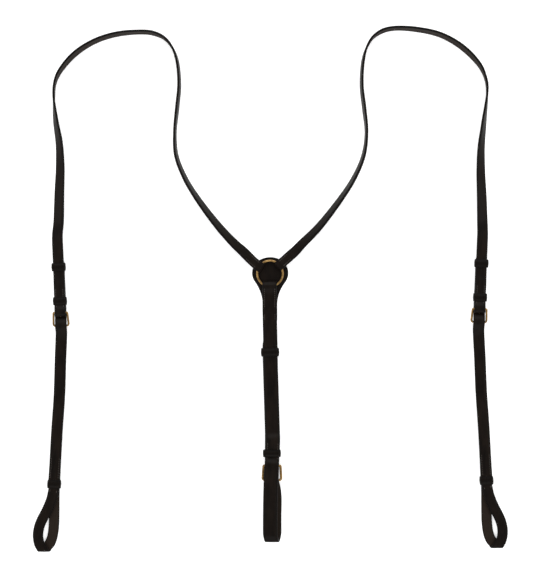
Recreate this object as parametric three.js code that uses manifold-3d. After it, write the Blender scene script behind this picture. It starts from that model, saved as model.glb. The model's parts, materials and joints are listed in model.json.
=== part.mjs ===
// A breastplate-type martingale of flat leather straps with brass fittings, laid out on its back.
// A ring joins two neck straps and one chest strap; each neck strap buckles to a strap that ends
// in a loop, and the chest strap folds back through its own buckle as the girth loop.
//
// Millimetres. +Z is up, away from the surface that the martingale lies on; +Y points along the
// horse's neck and +X to the right. The origin is the middle of the footprint, on the surface.
import * as THREE from "three";
import { mergeVertices } from "three/addons/utils/BufferGeometryUtils.js";
import Module from "manifold-3d";

const wasm = await Module();
wasm.setup();

// ---- Driving dimensions -------------------------------------------------------------------

const NECK_STRAP = { width: 15, thick: 3.2 };
const SIDE_STRAP = { width: 15.8, thick: 3.0, loopWidth: 14.2 };
const CHEST_STRAP = { width: 19.6, thick: 3.2 };
const TURN_BACK = 1.7; // leather pared thin where it folds back on itself
const GAP = 0.3; // clearance between pieces that touch
const FREE_GAP = 0.5; // clearance of a keeper that slides

const RING = { x: 0, y: 20.5, z: 6.7, boreRadius: 15.95, wire: 3 };
const GUARD = { x: 0.3, y: 21, halfWidth: 24.8, halfHeight: 22, thick: 2.4, tailWidth: 20, tailEnd: -46 };

const KEEPER = { wall: 1.1, length: 11, loopLength: 11.5 };
const GIRTH_KEEPER = { wall: 1.4, fixedLength: 9.6, runnerLength: 11.5 };
const STRAP_LIFT = 2.0; // height of the lowest strap where keepers pass under it

const SIDE_BUCKLE = { width: 24, barToRail: 18, wire: 2.4, barZ: 8.5, railZ: 4.9 };
const GIRTH_BUCKLE = { width: 28.8, barToRail: 20, wire: 2.8, barZ: 9.0, railZ: 5.1 };
const TONGUE = { width: 3.4, thick: 1.8, slotWidth: 4.4, play: 9 };

const RIGHT_SHIFT = 5; // the right side lies this much further up than the left one
const STEP = 9; // longest step along a curved strap

const LEATHER = { color: 0x1f1713, roughness: 0.55, metalness: 0 };
const LEATHER_TRIM = { color: 0x241b16, roughness: 0.5, metalness: 0 };
const BRASS = { color: 0x9b7a45, roughness: 0.35, metalness: 1 };

// ---- Solids --------------------------------------------------------------------------------

function material(look) {
  return new THREE.MeshStandardMaterial(look);
}

function part(name, geometry, look) {
  const mesh = new THREE.Mesh(geometry, material(look));
  mesh.name = name;
  return mesh;
}

function solidOf(geometry) {
  const bare = geometry.clone();
  bare.deleteAttribute("normal");
  bare.deleteAttribute("uv");
  const merged = mergeVertices(bare, 1e-4);
  const mesh = new wasm.Mesh({
    numProp: 3,
    vertProperties: new Float32Array(merged.attributes.position.array),
    triVerts: new Uint32Array(merged.index.array),
  });
  return new wasm.Manifold(mesh);
}

function geometryOf(solid) {
  const mesh = solid.getMesh();
  const geometry = new THREE.BufferGeometry();
  geometry.setAttribute("position", new THREE.BufferAttribute(mesh.vertProperties, 3));
  geometry.setIndex(new THREE.BufferAttribute(mesh.triVerts, 1));
  geometry.computeVertexNormals();
  return geometry;
}

function cut(geometry, ...tools) {
  let solid = solidOf(geometry);
  for (const tool of tools) solid = solid.subtract(solidOf(tool));
  return geometryOf(solid);
}

function join(...geometries) {
  return geometryOf(geometries.map(solidOf).reduce((sum, solid) => sum.add(solid)));
}

// A flat outline pushed along X: the outline is drawn in Y (to the right) and Z (up).
function sideProfile(points, width) {
  const shape = new THREE.Shape(points.map(([y, z]) => new THREE.Vector2(y, z)));
  const geometry = new THREE.ExtrudeGeometry(shape, { depth: width, bevelEnabled: false });
  geometry.translate(0, 0, -width / 2);
  const axes = new THREE.Matrix4().makeBasis(
    new THREE.Vector3(0, 1, 0),
    new THREE.Vector3(0, 0, 1),
    new THREE.Vector3(1, 0, 0),
  );
  return geometry.applyMatrix4(axes);
}

// ---- Straps --------------------------------------------------------------------------------

// A strap is a row of stations: a centre, a vector across its whole width and a vector through
// its whole thickness. The class hands them to ExtrudeGeometry as a path with its own frames.
class StationPath extends THREE.Curve {
  constructor(stations) {
    super();
    this.stations = stations;
  }
  getSpacedPoints() {
    return this.stations.map((station) => station.centre);
  }
  computeFrenetFrames() {
    return {
      tangents: this.stations.map(() => new THREE.Vector3()),
      normals: this.stations.map((station) => station.across),
      binormals: this.stations.map((station) => station.through),
    };
  }
}

function strapGeometry(stations) {
  const corner = 0.5;
  const section = new THREE.Shape([
    new THREE.Vector2(-corner, -corner),
    new THREE.Vector2(corner, -corner),
    new THREE.Vector2(corner, corner),
    new THREE.Vector2(-corner, corner),
  ]);
  return new THREE.ExtrudeGeometry(section, {
    steps: stations.length - 1,
    extrudePath: new StationPath(stations),
    bevelEnabled: false,
  });
}

function lerpRow(rows, key, index) {
  const low = Math.min(Math.floor(index), rows.length - 2);
  return THREE.MathUtils.lerp(rows[low][key], rows[low + 1][key], index - low);
}

// Height of a strap's middle line when its lowest edge or face lies on the surface.
function restHeight(width, thick, roll) {
  const angle = THREE.MathUtils.degToRad(roll);
  return (width * Math.abs(Math.sin(angle)) + thick * Math.abs(Math.cos(angle))) / 2;
}

// Rows along a strap: x, y, roll (degrees on edge), width, thick and lift, the height of its
// lowest edge above the surface. side is 1 where the left edge of travel is the raised one and
// -1 on the mirrored strap. Returns the stations of the strap between its first and last row.
function routeStations(rows, side) {
  const centres = rows.map((row) => {
    const rise = restHeight(row.width, row.thick, row.roll);
    return new THREE.Vector3(row.x, row.y, row.lift + rise);
  });
  const curve = new THREE.CatmullRomCurve3(centres, false, "centripetal");
  const stations = [];
  for (let i = 0; i < rows.length - 1; i++) {
    const steps = Math.max(1, Math.ceil(centres[i].distanceTo(centres[i + 1]) / STEP));
    for (let k = 0; k < steps; k++) stations.push(stationAt(rows, curve, side, i + k / steps));
  }
  stations.push(stationAt(rows, curve, side, rows.length - 1));
  return stations;
}

function stationAt(rows, curve, side, index) {
  const t = index / (rows.length - 1);
  const along = curve.getTangent(t);
  const upright = new THREE.Vector3(0, 0, 1).addScaledVector(along, -along.z).normalize();
  const level = new THREE.Vector3().crossVectors(upright, along).multiplyScalar(side);
  const degrees = lerpRow(rows, "roll", index);
  const width = lerpRow(rows, "width", index);
  const thick = lerpRow(rows, "thick", index);
  const centre = curve.getPoint(t);
  centre.z = Math.max(centre.z, restHeight(width, thick, degrees));
  const roll = THREE.MathUtils.degToRad(degrees);
  const across = level.clone().multiplyScalar(Math.cos(roll));
  across.addScaledVector(upright, Math.sin(roll));
  const through = upright.clone().multiplyScalar(Math.cos(roll));
  through.addScaledVector(level, -Math.sin(roll));
  return {
    centre,
    across: across.multiplyScalar(width * side),
    through: through.multiplyScalar(thick),
    along,
  };
}

// The same strap seen from its other end, so that two stretches can follow one another.
function reversed(stations) {
  return stations
    .map((station) => ({
      centre: station.centre,
      across: station.across,
      through: station.through.clone().negate(),
      along: station.along.clone().negate(),
    }))
    .reverse();
}

// The turn of a strap that travels along, then folds down and back under itself.
function foldStations({ centre, across, along, up, outer, thick, depth, steps, drift = 0 }) {
  const radius = outer - thick / 2;
  const stations = [];
  for (let i = 1; i < steps; i++) {
    const angle = (Math.PI * i) / steps;
    const outward = up.clone().multiplyScalar(Math.cos(angle));
    outward.addScaledVector(along, Math.sin(angle));
    const place = centre.clone().addScaledVector(up, radius * Math.cos(angle));
    place.addScaledVector(along, (radius + depth) * Math.sin(angle));
    place.addScaledVector(across.clone().normalize(), drift * (i / steps - 0.5));
    stations.push({ centre: place, across, through: outward.multiplyScalar(thick), along });
  }
  return stations;
}

// ---- Routes --------------------------------------------------------------------------------

// Where each neck strap lies between the ring and its buckle, as hand-set points of its middle
// line. The roll list goes with both: 0 is flat, 90 stands on its edge.
const NECK_START = {
  left: [[-13.4, 29.3], [-17.2, 31.9], [-24.2, 37.9], [-30.2, 43.9], [-38.4, 52]],
  right: [[12, 31.1], [15, 33.7], [20.8, 38.9], [26.4, 43.9], [34.6, 51.3]],
};
const NECK_ARCH = {
  left: [
    [-47.1, 59.9], [-69.7, 84.3], [-99.3, 123.4], [-116.2, 151.4], [-128, 182.2],
    [-129.8, 214], [-126.6, 247.9], [-123.9, 280], [-127.2, 313.1], [-133.6, 329.2],
    [-144.1, 341.9], [-160.3, 349], [-177, 350.4], [-209.7, 347.4], [-240.3, 337.5],
    [-267.7, 319.6], [-288.3, 294.9], [-294.2, 279.6], [-295.4, 263.1], [-292.8, 230.1],
    [-288, 198.1], [-286.8, 165], [-288, 132], [-289.2, 91],
  ],
  right: [
    [42.9, 60.2], [65.8, 83.3], [96.5, 122.7], [114.5, 150.7], [127.4, 180.9],
    [131.7, 213], [128.6, 246], [125.1, 279], [127.2, 312], [131.5, 327.8],
    [139.8, 342.3], [153.5, 351.8], [170.1, 355.5], [202.8, 353.6], [234.6, 345.9],
    [263.3, 329.1], [286.3, 305.4], [293.5, 290.8], [296.8, 275], [292, 225],
    [288.6, 193], [288.2, 160], [289.5, 127], [290.5, 93],
  ],
};
const ARCH_ROLL = [
  40, 52, 65, 72, 78, 84, 80, 82, 84, 90, 94, 100, 99, 102, 103, 105, 98, 90, 87, 64, 50, 38,
  28, 15,
];

// The buckle of each side: where its bar is and which way the strap runs down from it.
const SIDE_PLACE = {
  left: { side: 1, x: -286.3, y: -32.9, inward: 0.9 },
  right: { side: -1, x: 286.3, y: -32.9 + RIGHT_SHIFT, inward: 0 },
};
const SIDE_LEAN = 2.4; // degrees, the upper end of the straight stretch leans outward

// Positions along the straight stretch above the side buckle's bar.
const SIDE_STACK = {
  fixedKeeper: 15.8,
  turnBackEnd: 34,
  runner: 62.4,
  tip: 76,
  straightEnd: 82,
};

// The strap from the side buckle down to its loop, relative to the bar; x grows outward.
const SIDE_DROP = [
  [-0.5, -38], [0.85, -62], [2.9, -112], [5.6, -161], [8.3, -210], [9.1, -222],
];
const LOOP_KEEPER = [9.6, -232.9];
const LOOP_KEEPER_DROP = 1.5; // the keeper has slid this far below the place where the legs meet
const LOOP_TURN_BACK = 38; // how far the loop's hidden end runs up behind the strap
const LOOP_FOLD = { y: -90.4, radius: 2.5, lean: 28 };
// The loop's two legs, relative to its keeper; the outer leg lies on top.
const LOOP_OUTER = [
  [0, -5], [1.5, -13], [3.2, -20.7], [6.4, -29.4], [10.3, -38.2], [14.7, -46.6], [18.3, -54.1],
  [20.9, -62.3], [22, -70.5], [21.6, -76.7], [20.1, -83],
];
const LOOP_INNER = [
  [0, -5], [0.2, -24], [0.4, -43.1], [0.9, -58.9], [3.1, -74.2], [6, -81.8],
];

// The chest strap's middle line from the ring down to the girth loop, as x at each y.
const CHEST = {
  ringFold: 14, // from the ring's centre to the middle of the fold
  turnBackEnd: -30,
  runner: -87,
  keeper: -225,
  bar: -241.8,
  rail: -261.8,
  loopEnd: -341.8,
  pointTip: -65,
};
const CHEST_LINE = [
  [-0.6, 10], [-0.5, -30], [0.2, -60], [1.05, -105], [2.4, -150], [3.3, -180], [4, -207],
  [2, -250], [0.6, -270], [0.1, -310], [0.1, -345],
];
const GIRTH_FRAME = { aside: 0.4, heading: -0.4 };

function chestX(y) {
  const next = Math.max(1, CHEST_LINE.findIndex(([, rowY]) => rowY <= y));
  const [xa, ya] = CHEST_LINE[next - 1];
  const [xb, yb] = CHEST_LINE[next];
  return THREE.MathUtils.mapLinear(y, ya, yb, xa, xb);
}

// ---- Ring and guard ------------------------------------------------------------------------

function ringGeometry() {
  const middle = RING.boreRadius + RING.wire / 2;
  const geometry = new THREE.TorusGeometry(middle, RING.wire / 2, 10, 48);
  return geometry.translate(RING.x, RING.y, RING.z);
}

function guardGeometry() {
  const half = GUARD.tailWidth / 2;
  const neck = THREE.MathUtils.degToRad(-38);
  const reach = GUARD.halfWidth * Math.cos(neck);
  const meetY = GUARD.y + GUARD.halfHeight * Math.sin(neck);
  const right = GUARD.x + reach;
  const shape = new THREE.Shape();
  shape.moveTo(half - 3, GUARD.tailEnd);
  shape.quadraticCurveTo(half, GUARD.tailEnd, half, GUARD.tailEnd + 3);
  shape.lineTo(half, GUARD.y - 43);
  shape.bezierCurveTo(half + 0.3, GUARD.y - 31, half + 3.5, GUARD.y - 23, right, meetY);
  shape.absellipse(GUARD.x, GUARD.y, GUARD.halfWidth, GUARD.halfHeight, neck, Math.PI - neck, false);
  shape.bezierCurveTo(-half - 3.5, GUARD.y - 23, -half - 0.3, GUARD.y - 31, -half, GUARD.y - 43);
  shape.lineTo(-half, GUARD.tailEnd + 3);
  shape.quadraticCurveTo(-half, GUARD.tailEnd, -half + 3, GUARD.tailEnd);
  return new THREE.ExtrudeGeometry(shape, {
    depth: GUARD.thick,
    bevelEnabled: false,
    curveSegments: 20,
  });
}

// ---- Buckles, in the frame of their own bar: +Y up the strap, origin in the middle of the bar --

function buckleTilt(buckle) {
  return Math.atan2(buckle.barZ - buckle.railZ, buckle.barToRail);
}

function railReach(buckle) {
  return Math.hypot(buckle.barZ - buckle.railZ, buckle.barToRail);
}

// Drawn anticlockwise, from the middle of the bar's side.
function roundedOutline(path, barHalf, railHalf, top, bottom, barRound, railRound) {
  path.moveTo(barHalf - barRound, top);
  path.lineTo(-barHalf + barRound, top);
  path.quadraticCurveTo(-barHalf, top, -barHalf, top - barRound);
  path.lineTo(-railHalf, bottom + railRound);
  path.quadraticCurveTo(-railHalf, bottom, -railHalf + railRound, bottom);
  path.lineTo(railHalf - railRound, bottom);
  path.quadraticCurveTo(railHalf, bottom, railHalf, bottom + railRound);
  path.lineTo(barHalf, top - barRound);
  path.quadraticCurveTo(barHalf, top, barHalf - barRound, top);
}

function frameGeometry(buckle) {
  const round = buckle.wire * 0.28;
  const half = buckle.wire / 2;
  const inset = buckle.wire - round;
  const bar = half - round;
  const reach = railReach(buckle);
  const barHalf = buckle.width / 2 - 1.1 - round;
  const railHalf = buckle.width / 2 - round;
  const shape = new THREE.Shape();
  roundedOutline(shape, barHalf, railHalf, bar, -reach - bar, 2.2, 4.6);
  const hole = new THREE.Path();
  const innerBar = barHalf - inset + round;
  const innerRail = railHalf - inset + round;
  roundedOutline(hole, innerBar, innerRail, -bar, -reach + bar, 0.8, 2.6);
  shape.holes.push(hole);
  const geometry = new THREE.ExtrudeGeometry(shape, {
    depth: buckle.wire - 2 * round,
    bevelThickness: round,
    bevelSize: round,
    bevelSegments: 2,
    curveSegments: 5,
  });
  geometry.translate(0, 0, -half + round);
  return geometry.rotateX(buckleTilt(buckle));
}

// The tongue is rolled round the bar and lies under the rail, on the side away from the strap.
function tongueGeometry(buckle) {
  const eyeInner = buckle.wire / 2 + 0.35;
  const eyeOuter = eyeInner + 1.0;
  const reach = railReach(buckle);
  const under = buckle.wire / 2 + GAP + TONGUE.thick / 2;
  const eye = new THREE.Shape();
  eye.absarc(0, 0, eyeOuter, 0, 2 * Math.PI, false);
  const bore = new THREE.Path();
  bore.absarc(0, 0, eyeInner, 0, 2 * Math.PI, true);
  eye.holes.push(bore);
  const ring = new THREE.ExtrudeGeometry(eye, {
    depth: TONGUE.width,
    bevelEnabled: false,
    curveSegments: 14,
  });
  ring.translate(0, 0, -TONGUE.width / 2);
  ring.applyMatrix4(
    new THREE.Matrix4().makeBasis(
      new THREE.Vector3(0, 1, 0),
      new THREE.Vector3(0, 0, 1),
      new THREE.Vector3(1, 0, 0),
    ),
  );
  const low = -under - TONGUE.thick / 2;
  const high = -under + TONGUE.thick / 2;
  const stem = sideProfile(
    [
      [-eyeInner * 0.3, -eyeOuter + 0.05],
      [-eyeInner * 0.3, -eyeInner - 0.1],
      [-reach * 0.3, high],
      [-reach - 0.6, high],
      [-reach - 1.8, high - 0.6],
      [-reach - 1.6, low],
      [-reach * 0.3, low],
    ],
    TONGUE.width,
  );
  return join(ring, stem).rotateX(buckleTilt(buckle));
}

// The space that the tongue needs in the leather, over all its play, plus clearance.
function tongueRoom(buckle) {
  const reach = railReach(buckle);
  const under = buckle.wire / 2 + GAP + TONGUE.thick / 2;
  const high = -under + TONGUE.thick / 2 + 0.45;
  const low = -under - TONGUE.thick / 2 - 0.5;
  const drop = Math.tan(THREE.MathUtils.degToRad(TONGUE.play + 1));
  const room = sideProfile(
    [
      [2.2, -1.0],
      [-1.2, 0.2],
      [-reach * 0.3, high + 0.3],
      [-reach - 2.5, high],
      [-reach - 2.5, low - reach * drop],
      [-1.0, low - 0.6],
      [2.2, low + 0.4],
    ],
    TONGUE.slotWidth,
  );
  const eyeRoom = new THREE.CylinderGeometry(
    buckle.wire / 2 + 1.6,
    buckle.wire / 2 + 1.6,
    TONGUE.slotWidth,
    20,
  ).rotateZ(Math.PI / 2);
  return join(room, eyeRoom).rotateX(buckleTilt(buckle));
}

function buckleMatrix(x, y, z, heading) {
  const matrix = new THREE.Matrix4().makeRotationZ(THREE.MathUtils.degToRad(heading));
  return matrix.setPosition(x, y, z);
}

function placed(mesh, matrix) {
  mesh.applyMatrix4(matrix);
  return mesh;
}

// ---- Keepers -------------------------------------------------------------------------------

// A band of leather round the straps: a rectangular tube, its opening along Y.
function keeperGeometry(width, low, high, length, wall) {
  const half = width / 2;
  const round = 1.2;
  const shape = new THREE.Shape();
  const outer = { left: -half - wall, right: half + wall, low: low - wall, high: high + wall };
  shape.moveTo(outer.left + round, outer.low);
  shape.lineTo(outer.right - round, outer.low);
  shape.lineTo(outer.right, outer.low + round);
  shape.lineTo(outer.right, outer.high - round);
  shape.lineTo(outer.right - round, outer.high);
  shape.lineTo(outer.left + round, outer.high);
  shape.lineTo(outer.left, outer.high - round);
  shape.lineTo(outer.left, outer.low + round);
  shape.closePath();
  const hole = new THREE.Path([
    new THREE.Vector2(-half, low),
    new THREE.Vector2(-half, high),
    new THREE.Vector2(half, high),
    new THREE.Vector2(half, low),
  ]);
  shape.holes.push(hole);
  const geometry = new THREE.ExtrudeGeometry(shape, { depth: length, bevelEnabled: false });
  geometry.translate(0, 0, -length / 2);
  return geometry.rotateX(Math.PI / 2);
}

// ---- Side assemblies -----------------------------------------------------------------------

// A point of a side's straight stretch, at a height above the bar along the strap.
function sidePoint(place, up) {
  const lean = THREE.MathUtils.degToRad(SIDE_LEAN);
  return { x: place.x - place.side * up * Math.sin(lean), y: place.y + up * Math.cos(lean) };
}

function sideMatrix(place, up, z = 0) {
  const point = sidePoint(place, up);
  return buckleMatrix(point.x, point.y, z, place.side * SIDE_LEAN);
}

const POINT_TOP = STRAP_LIFT + SIDE_STRAP.thick;
const MAIN_OVER_POINT = POINT_TOP + GAP;
const MAIN_OVER_TURN = MAIN_OVER_POINT + TURN_BACK + GAP;
const SIDE_CAVITY = 2.18; // inner radius of the neck strap's fold; it clears the tongue's eye
const SIDE_FOLD_Z = MAIN_OVER_POINT + TURN_BACK + SIDE_CAVITY;

function neckRows(place, key) {
  const nearRing = [
    { roll: 0, width: 13.7, thick: TURN_BACK, lift: 8.7 },
    { roll: 0, width: 13.7, thick: 2.4, lift: 8.6 },
    { roll: 2, width: 13.7, thick: 3, lift: 5.2 },
    { roll: 9, width: 14, thick: 3.2, lift: 3.7 },
    { roll: 26, width: 14.4, thick: 3.2, lift: 2.5 },
  ].map((row, i) => ({ x: NECK_START[key][i][0], y: NECK_START[key][i][1], ...row }));
  const arch = NECK_ARCH[key].map(([x, y], i) => ({
    x,
    y,
    roll: ARCH_ROLL[i],
    width: NECK_STRAP.width,
    thick: NECK_STRAP.thick,
    lift: i === 0 ? 0.6 : 0,
  }));
  const straight = [
    { up: 105, roll: 10, lift: 2.4 },
    { up: SIDE_STACK.straightEnd, roll: 0, lift: MAIN_OVER_POINT },
    { up: SIDE_STACK.turnBackEnd + 14, roll: 0, lift: MAIN_OVER_POINT },
    { up: SIDE_STACK.turnBackEnd + 3, roll: 0, lift: MAIN_OVER_TURN },
    { up: 14, roll: 0, lift: MAIN_OVER_TURN },
    { up: 10.2, roll: 0, lift: MAIN_OVER_TURN + 0.05 },
    { up: 3, roll: 0, lift: SIDE_FOLD_Z + SIDE_CAVITY - 0.1, thick: 2.2 },
    { up: 0, roll: 0, lift: SIDE_FOLD_Z + SIDE_CAVITY, thick: TURN_BACK },
  ].map(({ up, ...rest }) => ({
    ...sidePoint(place, up),
    width: NECK_STRAP.width,
    thick: NECK_STRAP.thick,
    ...rest,
  }));
  return [...nearRing, ...arch, ...straight];
}

// The hidden leg of the neck strap's fold on the ring, from its end towards the ring.
function neckRingLeg(place, key) {
  const rows = [
    { roll: 0, width: 13.7, lift: RING.z - 2 - TURN_BACK },
    { roll: 0, width: 13.7, lift: RING.z - 2 - TURN_BACK },
    { roll: 2, width: 13.7, lift: 2.6 },
    { roll: 9, width: 14, lift: 1.1 },
    { roll: 26, width: 14.4, lift: 0 },
  ].map((row, i) => ({
    x: NECK_START[key][i][0],
    y: NECK_START[key][i][1],
    thick: TURN_BACK,
    ...row,
  }));
  return reversed(routeStations(rows, place.side));
}

// The hidden leg of the neck strap's fold on the buckle's bar, from the bar to its end.
function neckBarLeg(place) {
  const rows = [SIDE_STACK.turnBackEnd, 0].map((up) => ({
    ...sidePoint(place, up),
    roll: 0,
    width: NECK_STRAP.width,
    thick: TURN_BACK,
    lift: MAIN_OVER_POINT,
  }));
  return reversed(routeStations(rows, place.side));
}

function neckStrap(place, key) {
  const top = routeStations(neckRows(place, key), place.side);
  const first = top[0];
  const last = top[top.length - 1];
  const up = new THREE.Vector3(0, 0, 1);
  const flat = (vector) => vector.clone().setZ(0).normalize();
  const ringFold = foldStations({
    centre: first.centre.clone().setZ(RING.z),
    across: first.across,
    along: flat(first.along).negate(),
    up,
    outer: 2 + TURN_BACK,
    thick: TURN_BACK,
    depth: 0,
    steps: 8,
  }).reverse();
  const barFold = foldStations({
    centre: last.centre.clone().setZ(SIDE_FOLD_Z),
    across: last.across,
    along: flat(last.along),
    up,
    outer: SIDE_CAVITY + TURN_BACK,
    thick: TURN_BACK,
    depth: 0,
    steps: 8,
  });
  const stations = [...neckRingLeg(place, key), ...ringFold, ...top, ...barFold];
  const strap = strapGeometry([...stations, ...neckBarLeg(place)]);
  return cut(strap, tongueRoom(SIDE_BUCKLE).applyMatrix4(sideMatrix(place, 0, SIDE_BUCKLE.barZ)));
}

// The strap below the side buckle: its point runs under the bar and up inside the keepers, its
// body passes over the rail and down, and its lower end folds back as a loop.
function sideDropPoint(place, [outward, y]) {
  const inward = place.inward * THREE.MathUtils.clamp((-38 - y) / 60, 0, 1);
  return { x: place.x - place.side * (outward - inward), y: place.y + y };
}

function sideDropRows(place) {
  const overRail = SIDE_BUCKLE.railZ + SIDE_BUCKLE.wire / 2 + 0.9;
  const rows = [
    { ...sidePoint(place, SIDE_STACK.tip), lift: STRAP_LIFT, width: 8, thick: 2 },
    { ...sidePoint(place, SIDE_STACK.tip - 4), lift: STRAP_LIFT, width: 13 },
    { ...sidePoint(place, SIDE_STACK.tip - 10), lift: STRAP_LIFT },
    { ...sidePoint(place, 6), lift: STRAP_LIFT },
    { ...sidePoint(place, -2), lift: STRAP_LIFT + 0.1 },
    { ...sidePoint(place, -9), lift: STRAP_LIFT + 2.2 },
    { ...sidePoint(place, -15.5), lift: overRail - 0.2 },
    { ...sidePoint(place, -19.5), lift: overRail - 0.2 },
    { ...sidePoint(place, -27), lift: overRail - 3.2 },
  ];
  const drop = SIDE_DROP.map((offset, i, all) => ({
    ...sideDropPoint(place, offset),
    lift: i < all.length - 3 ? 0 : STRAP_LIFT + SIDE_STRAP.thick + GAP,
  }));
  drop[0].lift = 0.5;
  rows.push(...drop);
  const [keeperX, keeperY] = LOOP_KEEPER;
  rows.push({ ...sideDropPoint(place, LOOP_KEEPER), lift: STRAP_LIFT + SIDE_STRAP.thick + GAP });
  LOOP_OUTER.forEach(([x, y], i) => {
    rows.push({
      ...sideDropPoint(place, [keeperX + x, keeperY + y]),
      width: SIDE_STRAP.loopWidth,
      lift: i < 2 ? STRAP_LIFT + SIDE_STRAP.thick + GAP : 2 * LOOP_FOLD.radius,
    });
  });
  return rows.map((row) => ({
    roll: 0,
    width: SIDE_STRAP.width,
    thick: SIDE_STRAP.thick,
    ...row,
  }));
}

function loopInnerRows(place) {
  const [keeperX, keeperY] = LOOP_KEEPER;
  const hidden = [LOOP_TURN_BACK, LOOP_TURN_BACK / 2, 0].map((up) => ({
    ...sideDropPoint(place, [keeperX - up * 0.045, keeperY + up]),
    lift: STRAP_LIFT,
    width: SIDE_STRAP.width,
  }));
  const leg = LOOP_INNER.map(([x, y], i) => ({
    ...sideDropPoint(place, [keeperX + x, keeperY + y]),
    lift: i === 0 ? STRAP_LIFT : Math.max(0, STRAP_LIFT - 0.7 * i),
    width: SIDE_STRAP.loopWidth,
  }));
  return [...hidden, ...leg].map((row) => ({ roll: 0, thick: SIDE_STRAP.thick, ...row }));
}

// Towards a crease the strap's cross lines turn parallel to it, so that it can fold flat.
function shearTowards(stations, crease, count) {
  const start = stations.length - count;
  for (let i = start; i < stations.length; i++) {
    const station = stations[i];
    const width = station.across.length();
    const square = station.across.clone().normalize();
    const aim = crease.clone().multiplyScalar(Math.sign(crease.dot(square)));
    const share = (i - start + 1) / count;
    const line = square.clone().lerp(aim, share).normalize();
    station.across = line.multiplyScalar(width / line.dot(square));
  }
  return stations;
}

function loopStrap(place) {
  const crease = new THREE.Vector3(1, 0, 0);
  const down = new THREE.Vector3(0, -1, 0);
  const up = new THREE.Vector3(0, 0, 1);
  const [keeperX, keeperY] = LOOP_KEEPER;
  const slope = Math.tan(THREE.MathUtils.degToRad(LOOP_FOLD.lean));
  const half = SIDE_STRAP.thick / 2;
  const drift = Math.PI * LOOP_FOLD.radius * slope;
  const foldY = keeperY + LOOP_FOLD.y;
  const outerX = keeperX + LOOP_OUTER.at(-1)[0];
  const outerEnd = outerX - (LOOP_OUTER.at(-1)[1] - LOOP_FOLD.y) * slope;
  const innerX = keeperX + LOOP_INNER.at(-1)[0];
  const innerEnd = outerEnd - drift;

  const end = { roll: 0, width: SIDE_STRAP.loopWidth, thick: SIDE_STRAP.thick };
  const topRows = sideDropRows(place);
  const topLift = 2 * LOOP_FOLD.radius;
  topRows.push({ ...sideDropPoint(place, [outerEnd, foldY]), ...end, lift: topLift });
  const lowRows = loopInnerRows(place);
  lowRows.push({ ...sideDropPoint(place, [innerEnd, foldY]), ...end, lift: 0 });

  const top = shearTowards(routeStations(topRows, place.side), crease, 4);
  const low = shearTowards(routeStations(lowRows, place.side), crease, 4);
  const last = top.at(-1);
  const middle = sideDropPoint(place, [(outerEnd + innerEnd) / 2, foldY]);
  const fold = foldStations({
    centre: new THREE.Vector3(middle.x, middle.y, LOOP_FOLD.radius + half),
    across: last.across,
    along: down,
    up,
    outer: LOOP_FOLD.radius + half,
    thick: SIDE_STRAP.thick,
    depth: 0,
    steps: 8,
    drift: drift * place.side * Math.sign(last.across.x),
  });
  const strap = strapGeometry([...top, ...fold, ...reversed(low)]);
  return cut(strap, tongueRoom(SIDE_BUCKLE).applyMatrix4(sideMatrix(place, 0, SIDE_BUCKLE.barZ)));
}

function sideAssembly(key) {
  const place = SIDE_PLACE[key];
  const group = new THREE.Group();
  const barMatrix = sideMatrix(place, 0, SIDE_BUCKLE.barZ);
  group.add(part(`${key}_neck_strap`, neckStrap(place, key), LEATHER));
  group.add(part(`${key}_loop_strap`, loopStrap(place), LEATHER));
  group.add(placed(part(`${key}_buckle_frame`, frameGeometry(SIDE_BUCKLE), BRASS), barMatrix));
  group.add(placed(part(`${key}_buckle_tongue`, tongueGeometry(SIDE_BUCKLE), BRASS), barMatrix));

  const width = SIDE_STRAP.width + 2 * GAP;
  const low = STRAP_LIFT - GAP;
  const overTurn = MAIN_OVER_TURN + NECK_STRAP.thick + GAP;
  const fixed = keeperGeometry(width, low, overTurn, KEEPER.length, KEEPER.wall);
  group.add(
    placed(
      part(`${key}_fixed_keeper`, fixed, LEATHER_TRIM),
      sideMatrix(place, SIDE_STACK.fixedKeeper),
    ),
  );
  const overPoint = MAIN_OVER_POINT + NECK_STRAP.thick + FREE_GAP;
  const loose = keeperGeometry(
    SIDE_STRAP.width + 2 * FREE_GAP,
    STRAP_LIFT - FREE_GAP,
    overPoint,
    KEEPER.length,
    KEEPER.wall,
  );
  group.add(
    placed(
      part(`${key}_runner_keeper`, loose, LEATHER_TRIM),
      sideMatrix(place, SIDE_STACK.runner),
    ),
  );
  const overLoop = STRAP_LIFT + 2 * SIDE_STRAP.thick + 2 * GAP;
  const loopKeeper = keeperGeometry(width, low, overLoop, KEEPER.loopLength, KEEPER.wall);
  const loopPoint = sideDropPoint(place, [LOOP_KEEPER[0], LOOP_KEEPER[1] - LOOP_KEEPER_DROP]);
  group.add(
    placed(
      part(`${key}_loop_keeper`, loopKeeper, LEATHER_TRIM),
      buckleMatrix(loopPoint.x, loopPoint.y, 0, -place.side * 3),
    ),
  );
  return group;
}

// ---- Chest assembly ------------------------------------------------------------------------

const CHEST_POINT_TOP = STRAP_LIFT + CHEST_STRAP.thick;
const CHAPE_LOW = CHEST_POINT_TOP + GAP;
const CHAPE = { width: 18, thick: 1.6, upEnd: 33 };
const CHAPE_CAVITY = GIRTH_BUCKLE.barZ - CHAPE_LOW - CHAPE.thick;
const CHEST_OVER_BAR = GIRTH_BUCKLE.barZ + CHAPE_CAVITY + CHAPE.thick + GAP;
const CHEST_OVER_CHAPE = CHAPE_LOW + 2 * CHAPE.thick + 2 * GAP;
const GIRTH_FOLD = { height: 14.6, depth: 4.5, drift: 5.8 };

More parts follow.
